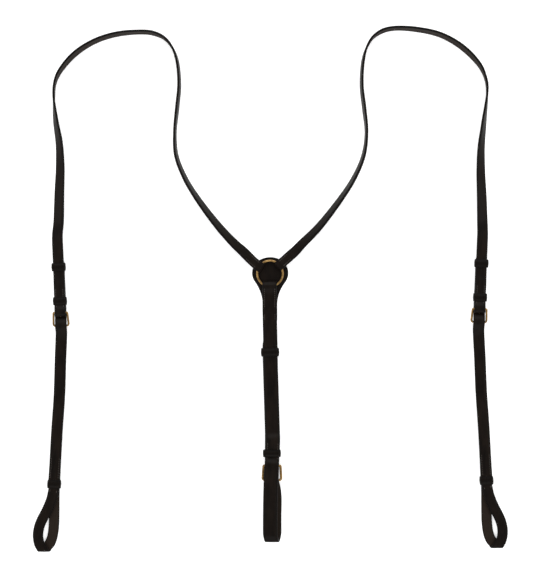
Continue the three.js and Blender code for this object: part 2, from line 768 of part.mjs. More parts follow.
function chestMainRows() {
  const rows = [
    { y: RING.y - CHEST.ringFold, lift: RING.z + 2, thick: 2.2 },
    { y: RING.y - CHEST.ringFold - 4, lift: RING.z + 2 },
    { y: RING.y - CHEST.ringFold - 14, lift: RING.z - 1.4 },
    { y: CHEST.turnBackEnd, lift: GUARD.thick + 2 * GAP + TURN_BACK },
    { y: CHEST.turnBackEnd - 9, lift: GUARD.thick + 1.2 },
    { y: CHEST.pointTip + 4, lift: CHEST_POINT_TOP + GAP },
    { y: CHEST.pointTip - 7, lift: CHEST_POINT_TOP + GAP },
    { y: -105, lift: CHEST_POINT_TOP + GAP },
    { y: -150, lift: CHEST_POINT_TOP + GAP },
    { y: CHEST.bar + CHAPE.upEnd + 22, lift: CHEST_POINT_TOP + GAP },
    { y: CHEST.bar + CHAPE.upEnd + 12, lift: CHEST_POINT_TOP + GAP },
    { y: CHEST.bar + CHAPE.upEnd + 2, lift: CHEST_OVER_CHAPE },
    { y: CHEST.bar + 11, lift: CHEST_OVER_CHAPE },
    { y: CHEST.bar + 2, lift: CHEST_OVER_BAR },
    { y: CHEST.bar - 4, lift: CHEST_OVER_BAR - 0.2 },
    { y: CHEST.rail, lift: GIRTH_FOLD.height - CHEST_STRAP.thick },
    { y: -300, lift: GIRTH_FOLD.height - CHEST_STRAP.thick },
    { y: CHEST.loopEnd + 7, lift: GIRTH_FOLD.height - CHEST_STRAP.thick },
  ];
  return rows.map((row) => ({
    x: chestX(row.y),
    roll: 0,
    width: CHEST_STRAP.width,
    thick: CHEST_STRAP.thick,
    ...row,
  }));
}

// The strap's return from the girth loop: over the rail, under the bar and up to its point.
function chestReturnRows() {
  const bow = [
    { y: CHEST.pointTip, lift: STRAP_LIFT, width: 10, thick: 2, aside: -1 },
    { y: CHEST.pointTip - 5, lift: STRAP_LIFT, width: 16, aside: -1 },
    { y: CHEST.pointTip - 12, lift: STRAP_LIFT, aside: -1 },
    { y: -105, lift: STRAP_LIFT, aside: -1 },
    { y: -150, lift: STRAP_LIFT, aside: -1 },
    { y: CHEST.bar + 42, lift: STRAP_LIFT, aside: -1 },
    { y: CHEST.bar + 30, lift: STRAP_LIFT, aside: -1 },
    { y: CHEST.bar + 8, lift: STRAP_LIFT, aside: 0 },
    { y: CHEST.bar - 2, lift: STRAP_LIFT + 0.1, aside: 0.4 },
    { y: CHEST.bar - 10, lift: STRAP_LIFT + 2.2, aside: 0.5 },
    { y: CHEST.rail + 3, lift: GIRTH_BUCKLE.railZ + GIRTH_BUCKLE.wire / 2 + 0.8, aside: 0.8 },
    { y: CHEST.rail - 2, lift: GIRTH_BUCKLE.railZ + GIRTH_BUCKLE.wire / 2 + 0.8, aside: 1.4 },
    { y: CHEST.rail - 12, lift: 3.2, aside: 4.4 },
    { y: CHEST.rail - 26, lift: 0.4, aside: 5.8 },
    { y: -310, lift: 0, aside: 5.8 },
    { y: CHEST.loopEnd + 14, lift: 0, aside: 5.8 },
    { y: CHEST.loopEnd + 7, lift: 0, aside: 5.8 },
  ];
  return bow.map(({ aside, ...row }) => ({
    x: chestX(row.y) + aside,
    roll: 0,
    width: CHEST_STRAP.width,
    thick: CHEST_STRAP.thick,
    ...row,
  }));
}

function chestRingLeg() {
  const rows = [
    { y: RING.y - CHEST.ringFold, lift: RING.z - 2 - TURN_BACK, thick: TURN_BACK },
    { y: RING.y - CHEST.ringFold - 10, lift: GUARD.thick + GAP },
    { y: CHEST.turnBackEnd + 3, lift: GUARD.thick + GAP },
  ];
  const full = rows.map((row) => ({
    x: chestX(row.y),
    roll: 0,
    width: CHEST_STRAP.width,
    thick: TURN_BACK,
    ...row,
  }));
  return reversed(routeStations(full, 1));
}

function girthMatrix() {
  const x = chestX(CHEST.bar) + GIRTH_FRAME.aside;
  return buckleMatrix(x, CHEST.bar, GIRTH_BUCKLE.barZ, GIRTH_FRAME.heading);
}

function chestStrap() {
  const up = new THREE.Vector3(0, 0, 1);
  const down = new THREE.Vector3(0, -1, 0);
  const main = routeStations(chestMainRows(), 1);
  const back = routeStations(chestReturnRows(), 1);
  const ringFold = foldStations({
    centre: main[0].centre.clone().setZ(RING.z),
    across: main[0].across,
    along: down.clone().negate(),
    up,
    outer: 2 + TURN_BACK,
    thick: TURN_BACK,
    depth: 0,
    steps: 8,
  }).reverse();
  const foldX = main.at(-1).centre.x + GIRTH_FOLD.drift / 2;
  const girthFold = foldStations({
    centre: main.at(-1).centre.clone().setZ(GIRTH_FOLD.height / 2).setX(foldX),
    across: main.at(-1).across,
    along: down,
    up,
    outer: GIRTH_FOLD.height / 2,
    thick: CHEST_STRAP.thick,
    depth: GIRTH_FOLD.depth,
    steps: 12,
    drift: GIRTH_FOLD.drift,
  });
  const stations = [...chestRingLeg(), ...ringFold, ...main, ...girthFold, ...reversed(back)];
  return cut(strapGeometry(stations), tongueRoom(GIRTH_BUCKLE).applyMatrix4(girthMatrix()));
}

// The short strap that holds the girth buckle, sewn to the chest strap's underside.
function girthChape() {
  const up = new THREE.Vector3(0, 0, 1);
  const down = new THREE.Vector3(0, -1, 0);
  const row = (y, lift) => ({
    x: chestX(y),
    y,
    lift,
    roll: 0,
    width: CHAPE.width,
    thick: CHAPE.thick,
  });
  const over = [
    row(CHEST.bar + CHAPE.upEnd, CHAPE_LOW + CHAPE.thick + GAP),
    row(CHEST.bar + 11, CHAPE_LOW + CHAPE.thick + GAP),
    row(CHEST.bar + 2, GIRTH_BUCKLE.barZ + CHAPE_CAVITY),
    row(CHEST.bar, GIRTH_BUCKLE.barZ + CHAPE_CAVITY),
  ];
  const under = [row(CHEST.bar + CHAPE.upEnd, CHAPE_LOW), row(CHEST.bar, CHAPE_LOW)];
  const top = routeStations(over, 1);
  const fold = foldStations({
    centre: top.at(-1).centre.clone().setZ(GIRTH_BUCKLE.barZ),
    across: top.at(-1).across,
    along: down,
    up,
    outer: CHAPE_CAVITY + CHAPE.thick,
    thick: CHAPE.thick,
    depth: 0.5,
    steps: 8,
  });
  const chape = strapGeometry([...top, ...fold, ...reversed(routeStations(under, 1))]);
  return cut(chape, tongueRoom(GIRTH_BUCKLE).applyMatrix4(girthMatrix()));
}

function chestAssembly() {
  const group = new THREE.Group();
  group.add(part("chest_ring", ringGeometry(), BRASS));
  group.add(part("ring_guard", guardGeometry(), LEATHER));
  group.add(part("chest_strap", chestStrap(), LEATHER));
  group.add(part("girth_chape", girthChape(), LEATHER));
  const matrix = girthMatrix();
  group.add(placed(part("girth_buckle_frame", frameGeometry(GIRTH_BUCKLE), BRASS), matrix));
  group.add(placed(part("girth_buckle_tongue", tongueGeometry(GIRTH_BUCKLE), BRASS), matrix));

  const width = CHEST_STRAP.width + 1.4 + 2 * GAP;
  const overChape = CHEST_OVER_CHAPE + CHEST_STRAP.thick + GAP;
  const { wall, fixedLength, runnerLength } = GIRTH_KEEPER;
  const fixed = keeperGeometry(width, STRAP_LIFT - GAP, overChape, fixedLength, wall);
  group.add(
    placed(
      part("girth_fixed_keeper", fixed, LEATHER_TRIM),
      buckleMatrix(chestX(CHEST.keeper) - 0.6, CHEST.keeper, 0, 0.8),
    ),
  );
  const overPoint = CHEST_POINT_TOP + GAP + CHEST_STRAP.thick + FREE_GAP;
  const runner = keeperGeometry(
    CHEST_STRAP.width + 1.4 + 2 * FREE_GAP,
    STRAP_LIFT - FREE_GAP,
    overPoint,
    runnerLength,
    wall,
  );
  group.add(
    placed(
      part("girth_runner_keeper", runner, LEATHER_TRIM),
      buckleMatrix(chestX(CHEST.runner) - 0.6, CHEST.runner, 0, 1.2),
    ),
  );
  return group;
}

// ---- The martingale ------------------------------------------------------------------------

const martingale = new THREE.Group();
martingale.add(chestAssembly(), sideAssembly("left"), sideAssembly("right"));

export default martingale;
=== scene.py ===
import math

import bmesh
import bpy
import numpy as np
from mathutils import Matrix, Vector
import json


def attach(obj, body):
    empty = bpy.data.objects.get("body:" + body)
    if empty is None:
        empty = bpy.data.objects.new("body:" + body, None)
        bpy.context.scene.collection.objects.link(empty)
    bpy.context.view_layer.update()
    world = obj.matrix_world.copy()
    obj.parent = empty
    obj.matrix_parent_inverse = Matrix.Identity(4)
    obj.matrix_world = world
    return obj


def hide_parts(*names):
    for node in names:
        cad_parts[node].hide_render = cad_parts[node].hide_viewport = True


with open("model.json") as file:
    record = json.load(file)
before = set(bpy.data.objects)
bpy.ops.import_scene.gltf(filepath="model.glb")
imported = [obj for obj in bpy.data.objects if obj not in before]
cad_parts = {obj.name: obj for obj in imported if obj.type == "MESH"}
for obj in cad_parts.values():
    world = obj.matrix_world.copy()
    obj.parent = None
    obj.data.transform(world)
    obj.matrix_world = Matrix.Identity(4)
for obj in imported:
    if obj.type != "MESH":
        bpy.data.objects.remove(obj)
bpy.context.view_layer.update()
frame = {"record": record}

MM = 0.001
JOINTS = {joint["name"]: joint for joint in frame["record"]["behaviour"]["joints"]}


def joint_place(name):
    return np.array(JOINTS[name]["pos_m"], float) / MM


# ---- Dimensions ----

NECK_WIDTH, NECK_THICK, NECK_NARROW = 15.0, 3.2, 13.7
SIDE_WIDTH, SIDE_THICK, LOOP_WIDTH = 15.8, 3.0, 14.2
CHEST_WIDTH, CHEST_THICK = 19.6, 3.2
TURN_BACK = 1.7
GAP = 0.3
FREE_GAP = 0.5
KEEPER_WALL, GIRTH_KEEPER_WALL = 1.1, 1.4
KEEPER_LENGTH, LOOP_KEEPER_LENGTH = 11.0, 11.5
GIRTH_KEEPER_LENGTH, GIRTH_RUNNER_LENGTH = 9.6, 11.5
STRAP_LIFT = 2.0

RING_CENTRE = joint_place("ring_spin")
RING_WIRE = 3.0
RING_MIDDLE = 15.95 + RING_WIRE / 2
RING_CAVITY = 2.0  # half the opening of a strap's fold on the ring
GUARD_THICK = 2.4
GUARD_CENTRE, GUARD_HALF = (0.3, 21.0), (24.8, 22.0)

SIDE_BUCKLE = {"width": 24.0, "drop": 18.0, "wire": 2.4, "bar": 8.5, "rail": 4.9}
GIRTH_BUCKLE = {"width": 28.8, "drop": 20.0, "wire": 2.8, "bar": 9.0, "rail": 5.1}
TONGUE_WIDTH, TONGUE_THICK = 3.4, 1.8
FRAME_FLAT = 1.25  # a buckle frame's metal is this much broader than thick

ROUTE_STEP = 2.4  # along a strap, between two rows of its mesh
STITCH_PITCH = 3.1
THREAD_RADIUS = 0.33
SIDE_INSET, CHEST_INSET = 2.6, 2.7  # from a strap's edge to its row of stitches
HOLE = (1.8, 1.7)  # a tongue hole's half length and half width

NECK_START = {
    "left": [(-13.4, 29.3), (-17.2, 31.9), (-24.2, 37.9), (-30.2, 43.9), (-38.4, 52)],
    "right": [(12, 31.1), (15, 33.7), (20.8, 38.9), (26.4, 43.9), (34.6, 51.3)],
}
NECK_ARCH = {
    "left": [
        (-47.1, 59.9), (-69.7, 84.3), (-99.3, 123.4), (-116.2, 151.4), (-128, 182.2),
        (-129.8, 214), (-126.6, 247.9), (-123.9, 280), (-127.2, 313.1), (-133.6, 329.2),
        (-144.1, 341.9), (-160.3, 349), (-177, 350.4), (-209.7, 347.4), (-240.3, 337.5),
        (-267.7, 319.6), (-288.3, 294.9), (-294.2, 279.6), (-295.4, 263.1), (-292.8, 230.1),
        (-288, 198.1), (-286.8, 165), (-288, 132), (-289.2, 91),
    ],
    "right": [
        (42.9, 60.2), (65.8, 83.3), (96.5, 122.7), (114.5, 150.7), (127.4, 180.9),
        (131.7, 213), (128.6, 246), (125.1, 279), (127.2, 312), (131.5, 327.8),
        (139.8, 342.3), (153.5, 351.8), (170.1, 355.5), (202.8, 353.6), (234.6, 345.9),
        (263.3, 329.1), (286.3, 305.4), (293.5, 290.8), (296.8, 275), (292, 225),
        (288.6, 193), (288.2, 160), (289.5, 127), (290.5, 93),
    ],
}
ARCH_ROLL = [
    40, 52, 65, 72, 78, 84, 80, 82, 84, 90, 94, 100, 99, 102, 103, 105, 98, 90, 87, 64, 50, 38,
    28, 15,
]
SIDES = {
    "left": {"side": 1, "bar": joint_place("left_frame_tilt"), "inward": 0.9},
    "right": {"side": -1, "bar": joint_place("right_frame_tilt"), "inward": 0.0},
}
SIDE_LEAN = 2.4
FIXED_KEEPER, TURN_BACK_END, RUNNER, POINT_TIP, STRAIGHT_END = 15.8, 34.0, 62.4, 76.0, 82.0
SIDE_DROP = [
    (-0.5, -38), (0.85, -62), (2.9, -112), (5.6, -161), (8.3, -210), (9.1, -222),
]
LOOP_KEEPER = (9.6, -232.9)
LOOP_KEEPER_DROP, LOOP_KEEPER_LEAN = 1.5, 3.0
LOOP_LEG_SLOPE = 0.045
LOOP_SHEAR = {"outer": 27.5, "inner": 33.0}  # where the legs start to turn to the crease
LOOP_TURN_BACK = 38.0
LOOP_FOLD_Y, LOOP_FOLD_RADIUS, LOOP_FOLD_LEAN = -90.4, 2.5, 28.0
LOOP_OUTER = [
    (0, -5), (1.5, -13), (3.2, -20.7), (6.4, -29.4), (10.3, -38.2), (14.7, -46.6), (18.3, -54.1),
    (20.9, -62.3), (22, -70.5), (21.6, -76.7), (20.1, -83),
]
LOOP_INNER = [(0, -5), (0.2, -24), (0.4, -43.1), (0.9, -58.9), (3.1, -74.2), (6, -81.8)]

CHEST_FOLD = 14.0
CHEST_TURN_BACK = -30.0
CHEST_RUNNER = -87.0
CHEST_KEEPER = -225.0
CHEST_BAR = joint_place("girth_frame_tilt")
CHEST_RAIL = CHEST_BAR[1] - GIRTH_BUCKLE["drop"]
CHEST_LOOP_END = -341.8
CHEST_TIP = -65.0
CHEST_LINE = [
    (-0.6, 10), (-0.5, -30), (0.2, -60), (1.05, -105), (2.4, -150), (3.3, -180), (4, -207),
    (2, -250), (0.6, -270), (0.1, -310), (0.1, -345),
]
GIRTH_HEADING = -0.4
LEGS_ASIDE = 1.4  # room for the return leg, which lies a little aside of the main one
KEEPER_ASIDE = 0.6

POINT_TOP = STRAP_LIFT + SIDE_THICK
MAIN_OVER_POINT = POINT_TOP + GAP
MAIN_OVER_TURN = MAIN_OVER_POINT + TURN_BACK + GAP
SIDE_CAVITY = 2.18
SIDE_FOLD_Z = MAIN_OVER_POINT + TURN_BACK + SIDE_CAVITY
CHEST_POINT_TOP = STRAP_LIFT + CHEST_THICK
CHAPE_LOW = CHEST_POINT_TOP + GAP
CHAPE_WIDTH, CHAPE_THICK, CHAPE_END = 18.0, 1.6, 33.0
CHAPE_CAVITY = GIRTH_BUCKLE["bar"] - CHAPE_LOW - CHAPE_THICK
CHEST_OVER_BAR = GIRTH_BUCKLE["bar"] + CHAPE_CAVITY + CHAPE_THICK + GAP
CHEST_OVER_CHAPE = CHAPE_LOW + 2 * CHAPE_THICK + 2 * GAP
GIRTH_HEIGHT, GIRTH_DEPTH, GIRTH_DRIFT = 14.6, 4.5, 5.8

UP = np.array([0.0, 0.0, 1.0])
DOWN = np.array([0.0, -1.0, 0.0])
LEVEL = np.array([1.0, 1.0, 0.0])


def unit(vector):
    return vector / np.linalg.norm(vector)


def new_object(name, data):
    made = bpy.data.objects.new(name, data)
    bpy.context.scene.collection.objects.link(made)
    return made


# ---- Materials ----


class Graph:
    """A material's nodes, with a principled shader that goes to the output."""

    def __init__(self, name):
        self.material = bpy.data.materials.new(name)
        self.material.use_nodes = True
        self.nodes = self.material.node_tree.nodes
        self.nodes.clear()
        output = self.nodes.new("ShaderNodeOutputMaterial")
        self.shader = self.nodes.new("ShaderNodeBsdfPrincipled")
        self.fill(output, {0: self.shader.outputs[0]})

    def fill(self, node, inputs):
        for name, value in inputs.items():
            socket = node.inputs[name]
            if isinstance(value, bpy.types.NodeSocket):
                self.material.node_tree.links.new(value, socket)
            elif isinstance(value, tuple):
                socket.default_value = (*value, 1.0)[:len(socket.default_value)]
            else:
                socket.default_value = value

    def finish(self, inputs):
        self.fill(self.shader, inputs)
        return self.material

    def node(self, kind, inputs, **settings):
        node = self.nodes.new(kind)
        for name, value in settings.items():
            setattr(node, name, value)
        self.fill(node, inputs)
        return node.outputs

    def attribute(self, name):
        return self.node("ShaderNodeAttribute", {}, attribute_name=name)["Vector"]

    def noise(self, vector, scale, detail, rough=0.55):
        """Noise in the vector's space, which a scale of three values stretches first."""
        if isinstance(scale, tuple):
            vector = self.node("ShaderNodeMapping", {"Vector": vector, "Scale": scale})[0]
            scale = 1.0
        inputs = {"Vector": vector, "Scale": scale, "Detail": detail, "Roughness": rough}
        return self.node("ShaderNodeTexNoise", inputs)["Fac"]

    def remap(self, value, low, high, to_low, to_high):
        limits = {"From Min": low, "From Max": high, "To Min": to_low, "To Max": to_high}
        return self.node("ShaderNodeMapRange", {"Value": value, **limits})["Result"]

    def blend(self, share, first, second):
        return self.node("ShaderNodeMix", {0: share, 6: first, 7: second}, data_type="RGBA")[2]

    def combine(self, operation, first, second):
        return self.node("ShaderNodeMath", {0: first, 1: second}, operation=operation)[0]

    def bump(self, height, distance, strength, normal=None):
        inputs = {"Height": height, "Distance": distance, "Strength": strength}
        if normal is not None:
            inputs["Normal"] = normal
        return self.node("ShaderNodeBump", inputs)["Normal"]


def leather(name, dark, warm, edge_dark, flesh, rough):
    """Leather whose texture lies in the strap's own millimetres: x round it, y along it."""
    graph = Graph(name)
    along = graph.attribute("strap")
    edge, under, _ = graph.node("ShaderNodeSeparateXYZ", {0: graph.attribute("zone")})

    clouds = graph.noise(along, (0.09, 0.03, 1), 4.0)
    scuffs = graph.noise(along, (0.9, 0.12, 1), 5.0, 0.65)
    fibres = graph.noise(along, (1.6, 0.5, 1), 6.0, 0.75)
    wrinkles = graph.noise(along, (0.16, 0.75, 1), 3.0, 0.5)
    fine = graph.noise(along, 2.6, 6.0, 0.7)
    pores = graph.node("ShaderNodeTexVoronoi", {"Vector": along, "Scale": 1.15, "Randomness": 1.0})

    rubbed = graph.remap(scuffs, 0.56, 0.74, 0, 0.45)
    tone = graph.blend(graph.remap(clouds, 0.35, 0.68, 0, 1), dark, warm)
    tone = graph.blend(rubbed, tone, tuple(min(1.0, 2.2 * c) for c in warm))
    tone = graph.blend(edge, tone, edge_dark)
    flesh_light = tuple(1.7 * c for c in flesh)
    fibre_tone = graph.blend(graph.remap(fibres, 0.35, 0.7, 0, 1), flesh, flesh_light)
    tone = graph.blend(under, tone, fibre_tone)

    gloss = graph.remap(clouds, 0.3, 0.7, rough - 0.07, rough + 0.1)
    for mask, change in ((rubbed, 0.25), (under, 0.18), (edge, -0.08)):
        gloss = graph.combine("ADD", gloss, graph.combine("MULTIPLY", mask, change))

    normal = graph.bump(pores["Distance"], 0.00010, 0.55)
    normal = graph.bump(fine, 0.00008, 0.5, normal)
    normal = graph.bump(wrinkles, 0.00035, 0.35, normal)
    return graph.finish({
        "Base Color": tone, "Roughness": gloss, "Specular IOR Level": 0.052,
        "Coat Weight": 0.022, "Coat Roughness": 0.30, "Normal": normal,
    })


def brass_material():
    graph = Graph("old_brass")
    place = graph.node("ShaderNodeTexCoord", {})["Object"]
    stain = graph.noise(place, 260.0, 6.0, 0.65)
    large = graph.noise(place, 70.0, 3.0)
    fine = graph.noise(place, 1800.0, 4.0, 0.7)
    bright, brown, dark = (0.30, 0.185, 0.068), (0.105, 0.060, 0.022), (0.045, 0.026, 0.012)
    tone = graph.blend(graph.remap(stain, 0.4, 0.68, 0, 1), bright, brown)
    return graph.finish({
        "Base Color": graph.blend(graph.remap(large, 0.5, 0.72, 0, 0.55), tone, dark),
        "Metallic": 1.0,
        "Roughness": graph.remap(stain, 0.3, 0.75, 0.24, 0.46),
        "Normal": graph.bump(stain, 0.00012, 0.3, graph.bump(fine, 0.00005, 0.35)),
    })


def thread_material():
    graph = Graph("waxed_thread")
    inputs = {"Vector": graph.attribute("strap"), "Scale": 1.4, "Distortion": 0.6}
    twist = graph.node("ShaderNodeTexWave", inputs)["Fac"]
    return graph.finish({
        "Base Color": graph.blend(twist, (0.012, 0.009, 0.007), (0.040, 0.030, 0.022)),
        "Roughness": 0.6, "Specular IOR Level": 0.4, "Normal": graph.bump(twist, 0.0001, 0.5),
    })


FLESH = (0.010, 0.0068, 0.0048)
MATERIALS = {
    "strap_leather": leather(
        "strap_leather", (0.0026, 0.0016, 0.0011), (0.0062, 0.0037, 0.0023),
        (0.0020, 0.0013, 0.0010), FLESH, 0.44,
    ),
    "trim_leather": leather(
        "trim_leather", (0.0024, 0.0015, 0.0010), (0.0054, 0.0032, 0.0020),
        (0.0018, 0.0012, 0.0009), FLESH, 0.40,
    ),
    "brass": brass_material(),
}
THREAD = thread_material()


# ---- Meshes ----


class Shape:
    """Vertices in millimetres with their place on the leather and the zone that they are in."""

    def __init__(self):
        self.points = []
        self.strap = []
        self.zone = []
        self.faces = []

    def add(self, points, strap, zone):
        start = len(self.points)
        self.points.extend([tuple(map(float, p)) for p in points])
        self.strap.extend([tuple(map(float, s)) for s in strap])
        self.zone.extend([tuple(map(float, z)) for z in zone])
        return start

    def loft(self, starts, count, closed=False):
        """Faces between rings of count points; closed joins the last ring to the first."""
        for a, b in zip(starts, starts[1:] + starts[:1] if closed else starts[1:]):
            for k in range(count):
                n = (k + 1) % count
                self.faces.append((a + k, a + n, b + n, b + k))

    def cap(self, starts, count):
        self.faces.append(tuple(starts[0] + k for k in range(count)))
        self.faces.append(tuple(starts[-1] + k for k in range(count))[::-1])

    def build(self, name, slot, body, thread=False):
        """Makes the object. All but the threads take the place of the CAD node of their name."""
        mesh = bpy.data.meshes.new(name)
        mesh.from_pydata([(x * MM, y * MM, z * MM) for x, y, z in self.points], [], self.faces)
        for attribute, values in (("strap", self.strap), ("zone", self.zone)):
            layer = mesh.attributes.new(attribute, "FLOAT_VECTOR", "POINT")
            layer.data.foreach_set("vector", np.array(values, np.float32).ravel())
        work = bmesh.new()
        work.from_mesh(mesh)
        bmesh.ops.recalc_face_normals(work, faces=work.faces)
        work.to_mesh(mesh)
        work.free()
        mesh.polygons.foreach_set("use_smooth", [True] * len(mesh.polygons))
        mesh.materials.append(THREAD if thread else MATERIALS[slot])
        mesh.update()
        obj = new_object(name, mesh)
        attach(obj, body)
        if not thread:
            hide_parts(name)


# ---- Routes: the middle line of a strap with its width and thickness at every station ----


def rest_height(width, thick, roll):
    angle = math.radians(roll)
    return (width * abs(math.sin(angle)) + thick * abs(math.cos(angle))) / 2


def catmull(points, index):
    """Centripetal Catmull-Rom through the points, at a position counted in rows."""
    last = len(points) - 1
    index = min(max(index, 0.0), float(last))
    low = min(int(index), last - 1)
    weight = index - low
    p1, p2 = points[low], points[low + 1]
    p0 = points[low - 1] if low > 0 else 2 * points[0] - points[1]
    p3 = points[low + 2] if low + 2 <= last else 2 * points[last] - points[last - 1]
    pairs = ((p0, p1), (p1, p2), (p2, p3))
    d0, d1, d2 = (max(np.sum((b - a) ** 2) ** 0.25, 1e-4) for a, b in pairs)
    t1 = ((p1 - p0) / d0 - (p2 - p0) / (d0 + d1) + (p2 - p1) / d1) * d1
    t2 = ((p2 - p1) / d1 - (p3 - p1) / (d1 + d2) + (p3 - p2) / d2) * d1
    c2 = -3 * p1 + 3 * p2 - 2 * t1 - t2
    c3 = 2 * p1 - 2 * p2 + t1 + t2
    return p1 + t1 * weight + c2 * weight**2 + c3 * weight**3


def smooth_value(values, spans, index):
    """Monotone cubic through the row values, so that a twist has no kinks."""
    last = len(values) - 1
    low = min(int(index), last - 1)
    weight = index - low
    slopes = [(values[i + 1] - values[i]) / spans[i] for i in range(last)]

    def slope_at(i):
        if i == 0:
            return slopes[0]
        if i == last:
            return slopes[-1]
        if slopes[i - 1] * slopes[i] <= 0:
            return 0.0
        return 2 * slopes[i - 1] * slopes[i] / (slopes[i - 1] + slopes[i])

    h = spans[low]
    w2, w3 = weight**2, weight**3
    return (
        (2 * w3 - 3 * w2 + 1) * values[low]
        + (w3 - 2 * w2 + weight) * h * slope_at(low)
        + (3 * w2 - 2 * w3) * values[low + 1]
        + (w3 - w2) * h * slope_at(low + 1)
    )


def route(rows, width, thick, side=1):
    """Stations (centre, across, through, width, thick) between the first and the last row. A row
    has x, y and lift, then roll, width and thick where they aren't 0 and the strap's own."""
    rows = [(*row, *(0, width, thick)[len(row) - 3:]) for row in rows]
    centres = [np.array([x, y, lift + rest_height(w, t, roll)]) for x, y, lift, roll, w, t in rows]
    spans = [max(np.linalg.norm(b - a), 1e-3) for a, b in zip(centres, centres[1:])]
    rolls, widths, thicks = ([row[k] for row in rows] for k in (3, 4, 5))
    places = []
    for i, span in enumerate(spans):
        count = max(1, math.ceil(span / ROUTE_STEP))
        places.extend(i + k / count for k in range(count))
    places.append(float(len(rows) - 1))
    stations = []
    for index in places:
        low = min(int(index), len(rows) - 2)
        part = index - low
        width, thick = ((1 - part) * v[low] + part * v[low + 1] for v in (widths, thicks))
        degrees = smooth_value(rolls, spans, index)
        along = unit(catmull(centres, index + 2e-3) - catmull(centres, index - 2e-3))
        upright = unit(UP - along * along[2])
        level = np.cross(upright, along) * side
        roll = math.radians(degrees)
        centre = catmull(centres, index)
        centre[2] = max(centre[2], rest_height(width, thick, degrees))
        across = (level * math.cos(roll) + upright * math.sin(roll)) * side
        through = upright * math.cos(roll) - level * math.sin(roll)
        stations.append([centre, across, through, width, thick])
    return stations


def reversed_route(stations):
    return [[c, a, -t, w, k] for c, a, t, w, k in stations[::-1]]


def distances(stations):
    """How far along the strap each station lies."""
    centres = np.array([s[0] for s in stations])
    steps = np.linalg.norm(np.diff(centres, axis=0), axis=1)
    return np.concatenate([[0], np.cumsum(steps)])


def fold(centre, across, along, outer, thick, width, depth=0.0, steps=18, drift=0.0):
    """The turn of a strap that travels along, then folds down and back under itself."""
    radius = outer - thick / 2
    made = []
    for i in range(1, steps):
        angle = math.pi * i / steps
        outward = UP * math.cos(angle) + along * math.sin(angle)
        place = centre + UP * radius * math.cos(angle) + along * (radius + depth) * math.sin(angle)
        place = place + unit(across) * drift * (i / steps - 0.5)
        made.append([place, across, outward, width, thick])
    return made


# ---- A strap's skin ----

ARC = 0.9  # rounding of a strap's edges
CREASE = (1.45, 1.85, 2.25)  # the pressed line near each edge: start, bottom and end
CREASE_DEPTH = 0.24
CENTRE_LINE = 2.7  # from the middle to the next line of points, between which holes are cut


def section(width, thick, crown):
    """Top and bottom outline of a strap's cross-section, each from its left to its right edge."""
    half, high = width / 2, thick / 2
    arc = min(ARC, 0.42 * thick)
    groove = CREASE_DEPTH if width > 11 and thick > 1.2 else 0.0
    left = [
        (-half, high - arc, 1), (-half + 0.3 * arc, high - 0.3 * arc, 1), (-half + arc, high, 0.6),
    ]
    shrink = min(1.0, half / 8.0)
    left += [
        (-half + CREASE[0] * shrink, high, 0.15),
        (-half + CREASE[1] * shrink, high - groove, 0.7),
        (-half + CREASE[2] * shrink, high, 0.0),
    ]
    middle = [(-0.58 * half, high, 0), (-min(CENTRE_LINE, 0.4 * half), high, 0), (0, high, 0)]
    row = left + middle + [(-x, z, e) for x, z, e in (left + middle[:-1])[::-1]]
    top = [(x, z - crown * ((x / half) ** 2 if abs(x) < half - 1 else 1), e) for x, z, e in row]
    low = [
        (x, -high if abs(x) <= half - arc + 1e-6 else -z, e if abs(x) > half - 1.3 else 0)
        for x, z, e in row
    ]
    return top, low


